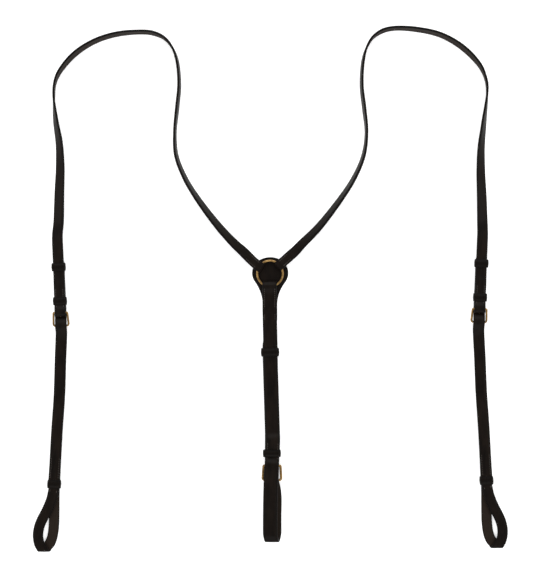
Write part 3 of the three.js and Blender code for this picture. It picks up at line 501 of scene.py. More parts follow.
def strap_shape(stations, taper=(0.0, 0.0), holes=(), tips=(None, None), flesh_side=True):
    """The closed skin of a strap. taper pares the first and last so many millimetres thin; holes
    are (position along, half length, half width); tips round the ends off to a point."""
    shape = Shape()
    along = distances(stations)
    total = along[-1]
    rows_top, rows_low, thicks = [], [], []
    for station, s in zip(stations, along):
        centre, across, through, width, thick = station
        for end, distance in ((0, s), (1, total - s)):
            if taper[end] and distance < taper[end]:
                thick = thick * (0.5 + 0.5 * distance / taper[end])
            if tips[end] and distance < tips[end]:
                share = distance / tips[end]
                width = width * math.sqrt(max(0.05, 1 - (1 - share) ** 2.2))
        shrink = 0.35 if (s < 1e-6 or total - s < 1e-6) else 0.0
        width, thick = width - shrink, thick - shrink
        thicks.append(thick)
        top, low = section(width, thick, 0.14 if thick > 2 else 0.05)
        for line, store, is_low in ((top, rows_top, False), (low, rows_low, True)):
            points = [centre + across * x + through * z for x, z, _ in line]
            strap = [((2 * width - x + 5) if is_low else x, s, 0) for x, _, _ in line]
            zone = [(e, 1.0 if is_low and flesh_side and e < 0.5 else 0.0, 0) for _, _, e in line]
            store.append(shape.add(points, strap, zone))
    count = len(section(10, 3, 0.1)[0])
    middle = count // 2
    opened = set()
    blocks = []
    for position, half_length, half_width in holes:
        first = int(np.argmin(np.abs(along - (position - half_length - 0.9))))
        last = int(np.argmin(np.abs(along - (position + half_length + 0.9))))
        if last - first < 2:
            first, last = first - 1, first + 1
        blocks.append((first, last, half_length, half_width, (along[first] + along[last]) / 2))
        opened.update((j, i) for j in range(first, last) for i in (middle - 1, middle))
    for j in range(len(stations) - 1):
        for i in range(count - 1):
            if (j, i) in opened:
                continue
            a, b = rows_top[j] + i, rows_top[j + 1] + i
            shape.faces.append((a, a + 1, b + 1, b))
            a, b = rows_low[j] + i, rows_low[j + 1] + i
            shape.faces.append((a, b, b + 1, a + 1))
        for i in (0, count - 1):
            shape.faces.append(
                (rows_top[j] + i, rows_top[j + 1] + i, rows_low[j + 1] + i, rows_low[j] + i)
            )
    for j in (0, len(stations) - 1):
        for i in range(count - 1):
            shape.faces.append(
                (rows_top[j] + i, rows_top[j] + i + 1, rows_low[j] + i + 1, rows_low[j] + i)
            )
    for first, last, half_length, half_width, position in blocks:
        rim = [(j, middle - 1) for j in range(first, last + 1)]
        rim += [(last, middle), (last, middle + 1)]
        rim += [(j, middle + 1) for j in range(last - 1, first - 1, -1)] + [(first, middle)]
        rings = []
        for rows, sign in ((rows_top, 1), (rows_low, -1)):
            inner, strap = [], []
            for j, i in rim:
                x = (i - middle) * CENTRE_LINE
                y = along[j] - position
                straight = max(half_length - half_width, 0.0)
                base = min(max(y, -straight), straight)
                away = np.array([x, y - base])
                away = away / max(np.linalg.norm(away), 1e-6) * half_width
                s = position + base + away[1]
                centre, across, through, thick = between(stations, along, thicks, s)
                inner.append(centre + across * away[0] + through * sign * (thick / 2 - 0.05))
                strap.append((away[0], s, 0))
            rings.append((shape.add(inner, strap, [(1, 0, 0)] * len(rim)), rows))
        for k in range(len(rim)):
            n = (k + 1) % len(rim)
            for start, rows in rings:
                (j, i), (jn, im) = rim[k], rim[n]
                shape.faces.append((rows[j] + i, rows[jn] + im, start + n, start + k))
            shape.faces.append((rings[0][0] + k, rings[0][0] + n, rings[1][0] + n, rings[1][0] + k))
    return shape


def between(stations, along, thicks, s):
    j = int(np.clip(np.searchsorted(along, s) - 1, 0, len(stations) - 2))
    part = float(np.clip((s - along[j]) / max(along[j + 1] - along[j], 1e-6), 0, 1))
    a, b = stations[j], stations[j + 1]
    return (
        (1 - part) * a[0] + part * b[0],
        unit((1 - part) * a[1] + part * b[1]),
        unit((1 - part) * a[2] + part * b[2]),
        (1 - part) * thicks[j] + part * thicks[j + 1],
    )


def nearest_along(stations, point, upper=True):
    """Distance along the strap of the station that is nearest to a point, on one of its legs."""
    centres = np.array([s[0] for s in stations])
    flat = np.hypot(centres[:, 0] - point[0], centres[:, 1] - point[1])
    flat[[(s[2][2] > 0) != upper for s in stations]] += 1e6
    return float(distances(stations)[int(np.argmin(flat))])


# ---- Stitching ----


def stitches(shape, surface, start, end):
    """Waxed thread stitches along a line: surface(s) gives a point, its outward and its forward."""
    count = max(1, int(round((end - start) / STITCH_PITCH)))
    pitch = (end - start) / count
    sides = 8
    profile = [
        (0.02, 0.12, -0.32), (0.10, 0.72, -0.08), (0.3, 1.0, 0.06), (0.5, 1.0, 0.10),
        (0.7, 1.0, 0.06), (0.90, 0.72, -0.08), (0.98, 0.12, -0.32),
    ]
    for k in range(count):
        rings = []
        for share, size, lift in profile:
            s = start + (k + 0.08 + 0.84 * share) * pitch
            point, outward, forward = surface(s)
            aside = np.cross(outward, forward)
            centre = point + outward * lift + aside * (share - 0.5) * 0.35
            ring, strap = [], []
            for n in range(sides):
                a = 2 * math.pi * n / sides
                spoke = aside * math.cos(a) * 1.12 + outward * math.sin(a) * 0.85
                ring.append(centre + THREAD_RADIUS * size * spoke)
                strap.append((s, 3 * n / sides, k))
            rings.append(shape.add(ring, strap, [(0, 0, 0)] * sides))
        shape.loft(rings, sides)
        shape.cap(rings, sides)


def strap_stitches(shape, stations, ends, inset):
    along = distances(stations)
    widths, thicks = ([s[k] for s in stations] for k in (3, 4))
    for side in (-1, 1):

        def surface(s, side=side):
            centre, across, through, thick = between(stations, along, thicks, s)
            ahead = between(stations, along, thicks, s + 0.5)[0]
            forward = unit(ahead - between(stations, along, thicks, s - 0.5)[0])
            half = np.interp(s, along, widths) / 2 - inset
            return centre + across * half * side + through * (thick / 2 - 0.06), through, forward

        stitches(shape, surface, min(ends), max(ends))


# ---- Side straps ----


def side_point(place, up):
    lean = math.radians(SIDE_LEAN)
    x, y = place["bar"][:2]
    return x - place["side"] * up * math.sin(lean), y + up * math.cos(lean)


def drop_point(place, offset):
    x, y = place["bar"][:2]
    inward = place["inward"] * min(max((-38 - offset[1]) / 60, 0), 1)
    return x - place["side"] * (offset[0] - inward), y + offset[1]


def neck_stations(key):
    place = SIDES[key]
    side = place["side"]
    near = [
        (8.7, 0, NECK_NARROW, TURN_BACK), (8.6, 0, NECK_NARROW, 2.4), (5.2, 2, NECK_NARROW, 3),
        (3.7, 9, 14), (2.5, 26, 14.4),
    ]
    rows = [(*start, *rest) for start, rest in zip(NECK_START[key], near)]
    rows += [(*p, 0 if i else 0.6, ARCH_ROLL[i]) for i, p in enumerate(NECK_ARCH[key])]
    high = SIDE_FOLD_Z + SIDE_CAVITY
    for up, *rest in [
        (105, 2.4, 10), (STRAIGHT_END, MAIN_OVER_POINT), (TURN_BACK_END + 14, MAIN_OVER_POINT),
        (TURN_BACK_END + 3, MAIN_OVER_TURN), (14, MAIN_OVER_TURN), (10.2, MAIN_OVER_TURN + 0.05),
        (3, high - 0.1, 0, NECK_WIDTH, 2.2), (0, high, 0, NECK_WIDTH, TURN_BACK),
    ]:
        rows.append((*side_point(place, up), *rest))
    main = route(rows, NECK_WIDTH, NECK_THICK, side)

    low = RING_CENTRE[2] - RING_CAVITY - TURN_BACK
    hidden = [(low,), (low,), (2.6, 2), (1.1, 9, 14), (0, 26, 14.4)]
    ring_rows = [(*start, *rest) for start, rest in zip(NECK_START[key], hidden)]
    ring_leg = reversed_route(route(ring_rows, NECK_NARROW, TURN_BACK, side))
    bar_rows = [(*side_point(place, up), MAIN_OVER_POINT) for up in (TURN_BACK_END, 0)]
    bar_leg = reversed_route(route(bar_rows, NECK_WIDTH, TURN_BACK, side))

    first, last = main[0], main[-1]
    ring_fold = fold(
        np.array([*first[0][:2], RING_CENTRE[2]]), first[1], unit((first[0] - main[1][0]) * LEVEL),
        RING_CAVITY + TURN_BACK, TURN_BACK, NECK_NARROW,
    )[::-1]
    bar_fold = fold(
        np.array([*last[0][:2], SIDE_FOLD_Z]), last[1], unit((last[0] - main[-2][0]) * LEVEL),
        SIDE_CAVITY + TURN_BACK, TURN_BACK, NECK_WIDTH, depth=2.0,
    )
    return ring_leg + ring_fold + main + bar_fold + bar_leg


def shear(stations, reach):
    """Towards a flat fold the strap's cross lines turn parallel to the crease."""
    crease = np.array([1.0, 0, 0])
    for station, distance in zip(stations, distances(stations[::-1])[::-1]):
        share = 1 - distance / reach
        if share <= 0:
            continue
        square = station[1]
        aim = crease * np.sign(crease @ square)
        line = unit((1 - share) * square + share * aim)
        station[3] = station[3] / (line @ square)
        station[1] = line
    return stations


def loop_stations(key):
    place = SIDES[key]
    side = place["side"]
    keeper_x, keeper_y = LOOP_KEEPER
    over_rail = SIDE_BUCKLE["rail"] + SIDE_BUCKLE["wire"] / 2 + 0.9
    over_leg = STRAP_LIFT + SIDE_THICK + GAP
    top_lift = 2 * LOOP_FOLD_RADIUS

    def eye_row(x, y, lift):
        return (*drop_point(place, (keeper_x + x, keeper_y + y)), lift, 0, LOOP_WIDTH)

    rows = [(*side_point(place, POINT_TIP), STRAP_LIFT, 0, SIDE_WIDTH, 2)]
    for up, lift in [
        (POINT_TIP - 4, STRAP_LIFT), (POINT_TIP - 10, STRAP_LIFT), (6, STRAP_LIFT),
        (-2, STRAP_LIFT + 0.1), (-9, STRAP_LIFT + 2.2), (-15.5, over_rail - 0.2),
        (-19.5, over_rail - 0.2), (-27, over_rail - 3.2),
    ]:
        rows.append((*side_point(place, up), lift))
    lifts = [0.5] + [0] * (len(SIDE_DROP) - 4) + [over_leg] * 3
    rows += [(*drop_point(place, offset), lift) for offset, lift in zip(SIDE_DROP, lifts)]
    rows.append((*drop_point(place, LOOP_KEEPER), over_leg))
    rows += [eye_row(x, y, top_lift if i > 1 else over_leg) for i, (x, y) in enumerate(LOOP_OUTER)]
    slope = math.tan(math.radians(LOOP_FOLD_LEAN))
    drift = math.pi * LOOP_FOLD_RADIUS * slope
    outer_end = LOOP_OUTER[-1][0] - (LOOP_OUTER[-1][1] - LOOP_FOLD_Y) * slope
    rows.append(eye_row(outer_end, LOOP_FOLD_Y, top_lift))

    low_rows = []
    for up in (LOOP_TURN_BACK, LOOP_TURN_BACK / 2, 0):
        spot = drop_point(place, (keeper_x - up * LOOP_LEG_SLOPE, keeper_y + up))
        low_rows.append((*spot, STRAP_LIFT))
    low_rows += [eye_row(x, y, max(0, STRAP_LIFT - 0.7 * i)) for i, (x, y) in enumerate(LOOP_INNER)]
    low_rows.append(eye_row(outer_end - drift, LOOP_FOLD_Y, 0))

    top = shear(route(rows, SIDE_WIDTH, SIDE_THICK, side), LOOP_SHEAR["outer"])
    low = shear(route(low_rows, SIDE_WIDTH, SIDE_THICK, side), LOOP_SHEAR["inner"])
    middle = drop_point(place, (keeper_x + outer_end - drift / 2, keeper_y + LOOP_FOLD_Y))
    radius = LOOP_FOLD_RADIUS + SIDE_THICK / 2
    last = top[-1]
    turn = fold(
        np.array([*middle, radius]), last[1], DOWN, radius, SIDE_THICK, last[3],
        drift=drift * side * np.sign(last[1][0]),
    )
    return top + turn + reversed_route(low)


# ---- Chest strap ----


def chest_x(y):
    xs, ys = zip(*CHEST_LINE)
    if y > ys[0]:
        return xs[0] + (xs[1] - xs[0]) * (y - ys[0]) / (ys[1] - ys[0])
    return float(np.interp(-y, [-v for v in ys], xs))


def chest_route(items, width=CHEST_WIDTH, thick=CHEST_THICK):
    """A route on the chest strap's line: each item is a row without its x."""
    return route([(chest_x(y), y, *rest) for y, *rest in items], width, thick)


def chest_stations():
    ring_y, ring_z = RING_CENTRE[1] - CHEST_FOLD, RING_CENTRE[2]
    bar = CHEST_BAR[1]
    inner = GIRTH_HEIGHT - CHEST_THICK
    chape_end = bar + CHAPE_END
    flat_main = (CHEST_TIP + 4, CHEST_TIP - 7, -105, -150, chape_end + 22, chape_end + 12)
    main = chest_route([
        (ring_y, ring_z + RING_CAVITY, 0, CHEST_WIDTH, 2.2), (ring_y - 4, ring_z + RING_CAVITY),
        (ring_y - 14, ring_z - 1.4), (CHEST_TURN_BACK, GUARD_THICK + 2 * GAP + TURN_BACK),
        (CHEST_TURN_BACK - 9, GUARD_THICK + 1.2), *((y, CHEST_POINT_TOP + GAP) for y in flat_main),
        (chape_end + 2, CHEST_OVER_CHAPE), (bar + 11, CHEST_OVER_CHAPE), (bar + 2, CHEST_OVER_BAR),
        (bar - 4, CHEST_OVER_BAR - 0.2), (CHEST_RAIL, inner), (-300, inner),
        (CHEST_LOOP_END + 7, inner),
    ])

    over_rail = GIRTH_BUCKLE["rail"] + GIRTH_BUCKLE["wire"] / 2 + 0.8
    flat_back = (CHEST_TIP, CHEST_TIP - 5, CHEST_TIP - 12, -105, -150, bar + 42, bar + 30)
    back_rows = [(y, STRAP_LIFT, -1) for y in flat_back] + [
        (bar + 8, STRAP_LIFT, 0), (bar - 2, STRAP_LIFT + 0.1, 0.4), (bar - 10, STRAP_LIFT + 2.2, 0.5),
        (CHEST_RAIL + 3, over_rail, 0.8), (CHEST_RAIL - 2, over_rail, 1.4),
        (CHEST_RAIL - 12, 3.2, 4.4), (CHEST_RAIL - 26, 0.4, GIRTH_DRIFT), (-310, 0, GIRTH_DRIFT),
        (CHEST_LOOP_END + 14, 0, GIRTH_DRIFT), (CHEST_LOOP_END + 7, 0, GIRTH_DRIFT),
    ]
    rows = [(chest_x(y) + aside, y, lift) for y, lift, aside in back_rows]
    back = route(rows, CHEST_WIDTH, CHEST_THICK)

    ring_leg = reversed_route(chest_route([
        (ring_y, ring_z - RING_CAVITY - TURN_BACK), (ring_y - 10, GUARD_THICK + GAP),
        (CHEST_TURN_BACK + 3, GUARD_THICK + GAP),
    ], thick=TURN_BACK))
    first, last = main[0], main[-1]
    ring_fold = fold(
        np.array([*first[0][:2], ring_z]), first[1], -DOWN, RING_CAVITY + TURN_BACK, TURN_BACK,
        CHEST_WIDTH,
    )[::-1]
    girth_fold = fold(
        last[0] * LEVEL + np.array([GIRTH_DRIFT / 2, 0, GIRTH_HEIGHT / 2]), last[1], DOWN,
        GIRTH_HEIGHT / 2, CHEST_THICK, CHEST_WIDTH, GIRTH_DEPTH, 24, GIRTH_DRIFT,
    )
    return ring_leg + ring_fold + main + girth_fold + reversed_route(back)


def chape_stations():
    bar = CHEST_BAR[1]
    high = GIRTH_BUCKLE["bar"] + CHAPE_CAVITY
    over = CHAPE_LOW + CHAPE_THICK + GAP
    size = CHAPE_WIDTH, CHAPE_THICK
    top = chest_route([(bar + CHAPE_END, over), (bar + 11, over), (bar + 2, high), (bar, high)], *size)
    low = chest_route([(bar + CHAPE_END, CHAPE_LOW), (bar, CHAPE_LOW)], *size)
    turn = fold(
        np.array([*top[-1][0][:2], GIRTH_BUCKLE["bar"]]), top[-1][1], DOWN,
        CHAPE_CAVITY + CHAPE_THICK, CHAPE_THICK, CHAPE_WIDTH, depth=0.5,
    )
    return top + turn + reversed_route(low)


# ---- Keepers ----


def keeper_shape(centre, heading, width, high, length, free=GAP, wall=KEEPER_WALL):
    """A band of leather with free room round straps that are width wide and reach up to high,
    pressed into shape, closed all round."""
    shape = Shape()
    half = width / 2 + free + wall / 2
    bottom, top = STRAP_LIFT - free - wall / 2, high + free + wall / 2
    corner = 1.5
    outline = []
    for cx, cz, start in (
        (half - corner, top - corner, 0), (-half + corner, top - corner, 90),
        (-half + corner, bottom + corner, 180), (half - corner, bottom + corner, 270),
    ):
        for k in range(7):
            a = math.radians(start + 15 * k)
            c, s = math.cos(a), math.sin(a)
            outline.append((cx + corner * c, cz + corner * s, c, s))
    full = []
    for index, item in enumerate(outline):
        nxt = outline[(index + 1) % len(outline)]
        full.append(item)
        if index % 7 == 6:
            for k in range(1, 6):
                w = k / 6
                x, z = (item[i] * (1 - w) + nxt[i] * w for i in (0, 1))
                full.append((x, z, *item[2:]))
    h = math.radians(heading)
    axis = np.array([-math.sin(h), math.cos(h), 0])
    level = np.array([math.cos(h), math.sin(h), 0])
    base = np.array([centre[0], centre[1], 0.0])
    r = wall * 0.4
    hl = length / 2
    outer = [
        (-hl, wall / 2 - r, 1), (-hl + 0.3 * r, wall / 2 - 0.3 * r, 1), (-hl + r, wall / 2, 0.5),
        (-hl + 1.0, wall / 2, 0.1), (-hl + 1.3, wall / 2 - 0.2, 0.7), (-hl + 1.6, wall / 2, 0),
        (0, wall / 2 + 0.04, 0),
    ]
    outer = outer + [(-y, n, e) for y, n, e in outer[:-1][::-1]]
    profile = outer + [(hl, -wall / 2 + 0.25, 1), (hl - 0.25, -wall / 2, 1), (0, -wall / 2, 0),
                       (-hl + 0.25, -wall / 2, 1), (-hl, -wall / 2 + 0.25, 1)]
    starts, run, previous = [], 0.0, full[0]
    for x, z, nx, nz in full:
        run += math.hypot(x - previous[0], z - previous[1])
        previous = (x, z)
        origin = base + level * x + UP * z
        normal = level * nx + UP * nz
        points = []
        for y, n, _ in profile:
            share = abs(y) / hl
            swell = 0.15 - 0.70 * share**3 if n > 0 else -0.06 * share**4
            points.append(origin + axis * y + normal * (n + swell * min(1.0, wall)))
        starts.append(shape.add(
            points, [(y, run, 0) for y, _, _ in profile],
            [(e, 1.0 if n < -wall / 4 else 0.0, 0) for _, n, e in profile],
        ))
    shape.loft(starts, len(profile), closed=True)
    return shape


# ---- Brass ----


def tube(shape, path, radius, squash=1.0, sides=20):
    """A closed bar of round section along a closed path: each item is (point, outward)."""
    starts = []
    count = len(path)
    for index, (point, outward) in enumerate(path):
        ahead = path[(index + 1) % count][0] - path[index - 1][0]
        side = unit(np.cross(unit(ahead), outward))
        ring = []
        for n in range(sides):
            a = 2 * math.pi * n / sides
            ring.append(point + radius * (outward * math.cos(a) * squash + side * math.sin(a)))
        starts.append(shape.add(ring, [(index, n, 0) for n in range(sides)], [(0, 0, 0)] * sides))
    shape.loft(starts, sides, closed=True)
    return shape


def ring_shape():
    path = []
    for k in range(120):
        a = 2 * math.pi * k / 120
        out = np.array([math.cos(a), math.sin(a), 0])
        path.append((RING_CENTRE + out * RING_MIDDLE, out))
    return tube(Shape(), path, RING_WIRE / 2 - 0.03, sides=24)


def buckle_matrix(place, heading, buckle):
    """The buckle's own frame: to the world, its rotation, and its length from bar to rail."""
    tilt = math.atan2(buckle["bar"] - buckle["rail"], buckle["drop"])
    ct, st = math.cos(tilt), math.sin(tilt)
    h = math.radians(heading)
    ch, sh = math.cos(h), math.sin(h)
    tip = np.array([[1, 0, 0], [0, ct, -st], [0, st, ct]])
    turn = np.array([[ch, -sh, 0], [sh, ch, 0], [0, 0, 1]])
    rotation = turn @ tip
    centre = np.array([place[0], place[1], buckle["bar"]])
    reach = math.hypot(buckle["bar"] - buckle["rail"], buckle["drop"])
    return lambda p: rotation @ np.asarray(p, float) + centre, rotation, reach


def frame_shape(place, heading, buckle):
    """A cast buckle frame: a straight bar, sides that widen, and a rounded rail at the far end."""
    to_world, rotation, reach = buckle_matrix(place, heading, buckle)
    half = buckle["wire"] / 2
    broad = FRAME_FLAT * half
    bar_half = buckle["width"] / 2 - 1.1 - broad
    rail_half = buckle["width"] / 2 - broad
    corners = [
        ((bar_half, 0), 1.5), ((-bar_half, 0), 1.5), ((-rail_half, -reach), 3.6),
        ((rail_half, -reach), 3.6),
    ]
    points = []
    for k, (corner, radius) in enumerate(corners):
        before = np.array(corners[k - 1][0])
        after = np.array(corners[(k + 1) % 4][0])
        here = np.array(corner)
        a = here + unit(before - here) * radius
        b = here + unit(after - here) * radius
        for n in range(9):
            w = n / 8
            points.append((1 - w) ** 2 * a + 2 * w * (1 - w) * here + w**2 * b)
        end = after + unit(here - after) * corners[(k + 1) % 4][1]
        for n in range(1, 6):
            points.append(b + (end - b) * n / 6)
    path = []
    for k, point in enumerate(points):
        ahead = points[(k + 1) % len(points)] - points[k - 1]
        out = unit(np.array([-ahead[1], ahead[0]])) * -1
        outward = rotation @ np.array([out[0], out[1], 0])
        path.append((to_world([point[0], point[1], 0]), outward))
    return tube(Shape(), path, half - 0.03, squash=FRAME_FLAT)


def bar_section(width, thick, count=5):
    """Rounded flat section, anticlockwise, for a tongue."""
    r = min(0.42 * thick, 0.42 * width)
    made = []
    for cx, cz, start in (
        (width / 2 - r, thick / 2 - r, 0), (-width / 2 + r, thick / 2 - r, 90),
        (-width / 2 + r, -thick / 2 + r, 180), (width / 2 - r, -thick / 2 + r, 270),
    ):
        for k in range(count):
            a = math.radians(start + 90 * k / (count - 1))
            made.append((cx + r * math.cos(a), cz + r * math.sin(a)))
    return made


def tongue_shape(place, heading, buckle):
    """A flat wire tongue: rolled round the bar, then straight to the rail, thinning at the tip."""
    to_world, _, reach = buckle_matrix(place, heading, buckle)
    inner = buckle["wire"] / 2 + 0.35
    roll = inner + 0.5
    under = buckle["wire"] / 2 + GAP + TONGUE_THICK / 2
    path = []
    for k in range(30):
        a = math.radians(-150 + 335 * (1 - k / 29))
        path.append((roll * math.cos(a), roll * math.sin(a), 0.92, TONGUE_WIDTH - 0.1))
    start_y, start_z = path[-1][0], path[-1][1]
    for k in range(1, 17):
        w = k / 16
        y = start_y + (-reach - 1.5 - start_y) * w
        blend = min(1.0, w / 0.3)
        z = start_z + (-under - start_z) * (blend * blend * (3 - 2 * blend))
        thick = 0.92 + (1.66 - 0.92) * min(1, w / 0.35) - (0.6 * max(0, w - 0.85) / 0.15)
        width = TONGUE_WIDTH - 0.1 - 0.9 * w
        path.append((y, z, thick, width))
    shape = Shape()
    starts = []
    for k, (y, z, thick, width) in enumerate(path):
        p, q = path[max(k - 1, 0)], path[min(k + 1, len(path) - 1)]
        ahead = unit(np.array([q[0] - p[0], q[1] - p[1]]))
        normal = np.array([0, -ahead[1], ahead[0]])
        points = [
            to_world(np.array([x, y, z]) + normal * n) for x, n in bar_section(width, thick)
        ]
        count = len(points)
        starts.append(shape.add(points, [(k, n, 0) for n in range(count)], [(0, 0, 0)] * count))
    shape.loft(starts, count)
    shape.cap(starts, count)
    return shape


# ---- Guard ----


def guard_outline(count=64):
    half, end = 10.0, -46.0
    gx, gy = GUARD_CENTRE
    rx, ry = GUARD_HALF
    neck = math.radians(-38)

    def rim(angle):
        return np.array([gx + rx * math.cos(angle), gy + ry * math.sin(angle)])

    def bezier(a, b, c, d, steps):
        a, b, c, d = (np.array(p, float) for p in (a, b, c, d))
        return [
            (1 - t) ** 3 * a + 3 * t * (1 - t) ** 2 * b + 3 * t * t * (1 - t) * c + t**3 * d
            for t in (k / steps for k in range(steps))
        ]

    def flank(sign, top):
        """One side, from the corner of the square foot up to where the round begins."""
        turns = [math.radians(15 * k) for k in range(7)]
        line = [(half - 3 + 3 * math.sin(a), end + 3 - 3 * math.cos(a)) for a in turns]
        line += [(half, end + 3 + (gy - 46 - end) * k / 4) for k in range(1, 4)]
        bends = ((half, gy - 43), (half + 0.3, gy - 31), (half + 3.5, gy - 23))
        waist = bezier(*((sign * x, y) for x, y in bends), top, 12)
        return [np.array([sign * x, y]) for x, y in line] + waist

    arc = [rim(neck + (math.pi - 2 * neck) * k / count) for k in range(count + 1)]
    bottom = [np.array([half - 3 - 2 * (half - 3) * k / 6, end]) for k in range(6, 0, -1)]
    return flank(1, rim(neck)) + arc + flank(-1, rim(math.pi - neck))[::-1] + bottom[1:]


def offset_outline(points, inset):
    made = []
    count = len(points)
    for k in range(count):
        ahead = points[(k + 1) % count] - points[k - 1]
        inward = np.array([-ahead[1], ahead[0]]) / max(np.linalg.norm(ahead), 1e-6)
        made.append(points[k] + inward * inset)
    return made


def guard_shape():
    outline = guard_outline()
    shape = Shape()
    t = GUARD_THICK
    rings = [
        (2.2, 0.0, 0, 1), (0.8, 0.0, 0.5, 1), (0.25, 0.25, 1, 0), (0.0, 0.8, 1, 0),
        (0.0, t - 0.8, 1, 0), (0.25, t - 0.25, 1, 0), (0.8, t, 0.5, 0), (1.5, t, 0.1, 0),
        (1.9, t - CREASE_DEPTH, 0.7, 0), (2.3, t, 0, 0), (4.0, t, 0, 0),
    ]
    starts = []
    for inset, z, edge, flesh in rings:
        line = offset_outline(outline, inset)
        points = [(p[0], p[1], z) for p in line]
        starts.append(shape.add(
            points, [(p[0], p[1], 0) for p in line], [(edge, flesh, 0)] * len(line)
        ))
    shape.loft(starts, len(outline))
    shape.cap(starts, len(outline))
    return shape


# ---- Putting it together ----


def build_buckle(key, bar, heading, buckle):
    for piece, make in (("frame", frame_shape), ("tongue", tongue_shape)):
        make(bar, heading, buckle).build(f"{key}_buckle_{piece}", "brass", f"{key}_{piece}")


def build_side(key):
    place = SIDES[key]
    side = place["side"]
    body = f"{key}_side"

    def at(up):
        return side_point(place, up)

    neck = neck_stations(key)
    eye = (nearest_along(neck, at(0), True) + nearest_along(neck, at(0), False)) / 2
    slot = (eye + 4.6, 4.6, 2.15)
    strap_shape(neck, taper=(9, 9), holes=[slot]).build(f"{key}_neck_strap", "strap_leather", body)

    threads = Shape()
    seams = ((NECK_START[key][1], NECK_START[key][3]), (at(7.5), at(11)), (at(20.5), at(32)))
    for top in (True, False):
        for seam in seams:
            ends = [nearest_along(neck, point, top) for point in seam]
            strap_stitches(threads, neck, ends, SIDE_INSET)

    loop = loop_stations(key)
    holes = [(nearest_along(loop, at(-3.2)), 3.2, 2.0)]
    holes += [(nearest_along(loop, at(up)), *HOLE) for up in (14, 30, 46)]
    strap_shape(loop, taper=(0, 9), holes=holes, tips=(11, None)).build(
        f"{key}_loop_strap", "strap_leather", body
    )
    keeper_x, keeper_y = LOOP_KEEPER
    for top in (True, False):
        for seam in ((-9.5, -13), (6.5, 35)):
            spots = [drop_point(place, (keeper_x - a * LOOP_LEG_SLOPE, keeper_y + a)) for a in seam]
            ends = [nearest_along(loop, spot, top) for spot in spots]
            if abs(ends[1] - ends[0]) > 2:
                strap_stitches(threads, loop, ends, SIDE_INSET)
    threads.build(f"{key}_stitching", "strap_leather", body, thread=True)

    heading = side * SIDE_LEAN
    keeper_shape(
        at(FIXED_KEEPER), heading, SIDE_WIDTH, MAIN_OVER_TURN + NECK_THICK, KEEPER_LENGTH
    ).build(f"{key}_fixed_keeper", "trim_leather", body)
    keeper_shape(
        at(RUNNER), heading, SIDE_WIDTH, MAIN_OVER_POINT + NECK_THICK, KEEPER_LENGTH, FREE_GAP
    ).build(f"{key}_runner_keeper", "trim_leather", f"{key}_runner")
    keeper_shape(
        drop_point(place, (keeper_x, keeper_y - LOOP_KEEPER_DROP)), -side * LOOP_KEEPER_LEAN,
        SIDE_WIDTH, STRAP_LIFT + 2 * SIDE_THICK + GAP, LOOP_KEEPER_LENGTH,
    ).build(f"{key}_loop_keeper", "trim_leather", body)
    build_buckle(key, place["bar"], heading, SIDE_BUCKLE)


def build_chest():
    ring_shape().build("chest_ring", "brass", "ring")
    guard_shape().build("ring_guard", "strap_leather", "chest")
    chest = chest_stations()
    bar = CHEST_BAR[1]

    def on(y, top, stations=chest):
        return nearest_along(stations, (chest_x(y), y), top)

    holes = [(on(bar - 6.5, False), 6.6, 2.1)]
    holes += [(on(bar + up, False), *HOLE) for up in (22, 48, 74, 100)]
    holes.append((on(CHEST_RAIL - 18, False), *HOLE))
    strap_shape(chest, taper=(9, 0), holes=holes, tips=(None, 13)).build(
        "chest_strap", "strap_leather", "chest"
    )
    threads = Shape()
    turned_back = (1.0, CHEST_TURN_BACK + 4.5)
    for a, b, top in (
        (*turned_back, True), (*turned_back, False), (-34, -44, True),
        (bar + 8, bar + 11.5, True), (bar + 22.5, bar + 31.5, True),
    ):
        strap_stitches(threads, chest, (on(a, top), on(b, top)), CHEST_INSET)

    chape = chape_stations()
    turn = (on(bar, True, chape) + on(bar, False, chape)) / 2
    strap_shape(chape, taper=(6, 6), holes=[(turn, 7.4, 2.15)]).build(
        "girth_chape", "strap_leather", "chest"
    )
    ends = [on(bar + up, False, chape) for up in (22.5, 31.5)]
    strap_stitches(threads, chape, ends, CHEST_INSET)
    threads.build("chest_stitching", "strap_leather", "chest", thread=True)

    for name, y, lean, free, high, length, rides in (
        ("fixed", CHEST_KEEPER, 0.8, GAP, CHEST_OVER_CHAPE, GIRTH_KEEPER_LENGTH, "chest"),
        ("runner", CHEST_RUNNER, 1.2, FREE_GAP, CHEST_POINT_TOP + GAP, GIRTH_RUNNER_LENGTH,
         "girth_runner"),
    ):
        keeper_shape(
            (chest_x(y) - KEEPER_ASIDE, y), lean, CHEST_WIDTH + LEGS_ASIDE, high + CHEST_THICK,
            length, free, GIRTH_KEEPER_WALL,
        ).build(f"girth_{name}_keeper", "trim_leather", rides)
    build_buckle("girth", CHEST_BAR, GIRTH_HEADING, GIRTH_BUCKLE)


build_chest()
build_side("left")
build_side("right")


# ---- Floor, light and camera ----

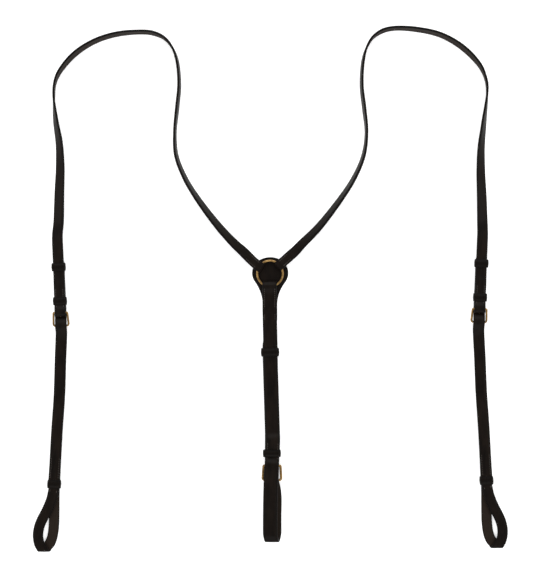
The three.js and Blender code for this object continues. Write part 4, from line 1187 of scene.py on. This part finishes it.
FLOOR_SIZE = 8.0
FLOOR_DROP = 0.0001
FLOOR_GLOW = 0.35  # a lit backing sheet, which takes the shadows away
VIEW_CENTRE = (-0.0048, 0.0048)
VIEW_HEIGHT = 0.781  # metres of floor from the picture's lower edge to its upper edge
LENS = 110.0
SENSOR = 36.0


def make_floor():
    mesh = bpy.data.meshes.new("floor")
    h = FLOOR_SIZE / 2
    corners = [(x, y, -FLOOR_DROP) for x, y in ((-h, -h), (h, -h), (h, h), (-h, h))]
    mesh.from_pydata(corners, [], [(0, 1, 2, 3)])
    mesh.materials.append(Graph("floor").finish({
        "Base Color": (0.90, 0.90, 0.90), "Roughness": 0.9, "Specular IOR Level": 0.0,
        "Emission Color": (1, 1, 1), "Emission Strength": FLOOR_GLOW,
    }))
    floor = new_object("floor", mesh)


def make_light(name, place, size, power, aim=(0, 0, 0)):
    data = bpy.data.lights.new(name, "AREA")
    data.shape = "RECTANGLE"
    data.size, data.size_y = size
    data.energy = power
    light = new_object(name, data)
    light.location = place
    direction = np.array(aim, float) - np.array(place, float)
    light.rotation_mode = "QUATERNION"
    light.rotation_quaternion = Vector(direction).to_track_quat("-Z", "Y")


def make_stage():
    make_floor()
    make_light("top", (0.0, 2.1, 1.7), (2.4, 1.4), 50)
    make_light("left", (-2.1, -0.1, 1.7), (1.4, 2.4), 32)
    make_light("right", (2.1, -0.1, 1.7), (1.4, 2.4), 32)
    make_light("bottom", (0.0, -2.1, 1.9), (2.4, 1.2), 27)
    world = bpy.data.worlds.new("studio")
    bpy.context.scene.world = world
    world.use_nodes = True
    background = world.node_tree.nodes["Background"]
    background.inputs["Color"].default_value = (1.0, 1.0, 1.0, 1)
    background.inputs["Strength"].default_value = 0.55

    data = bpy.data.cameras.new("camera")
    data.lens = LENS
    data.sensor_width = SENSOR
    camera = new_object("camera", data)
    distance = VIEW_HEIGHT * LENS / SENSOR
    camera.location = (VIEW_CENTRE[0], VIEW_CENTRE[1], distance)
    data.clip_start, data.clip_end = 0.1, 20
    bpy.context.scene.camera = camera
    bpy.context.scene.view_settings.view_transform = "Standard"


make_stage()
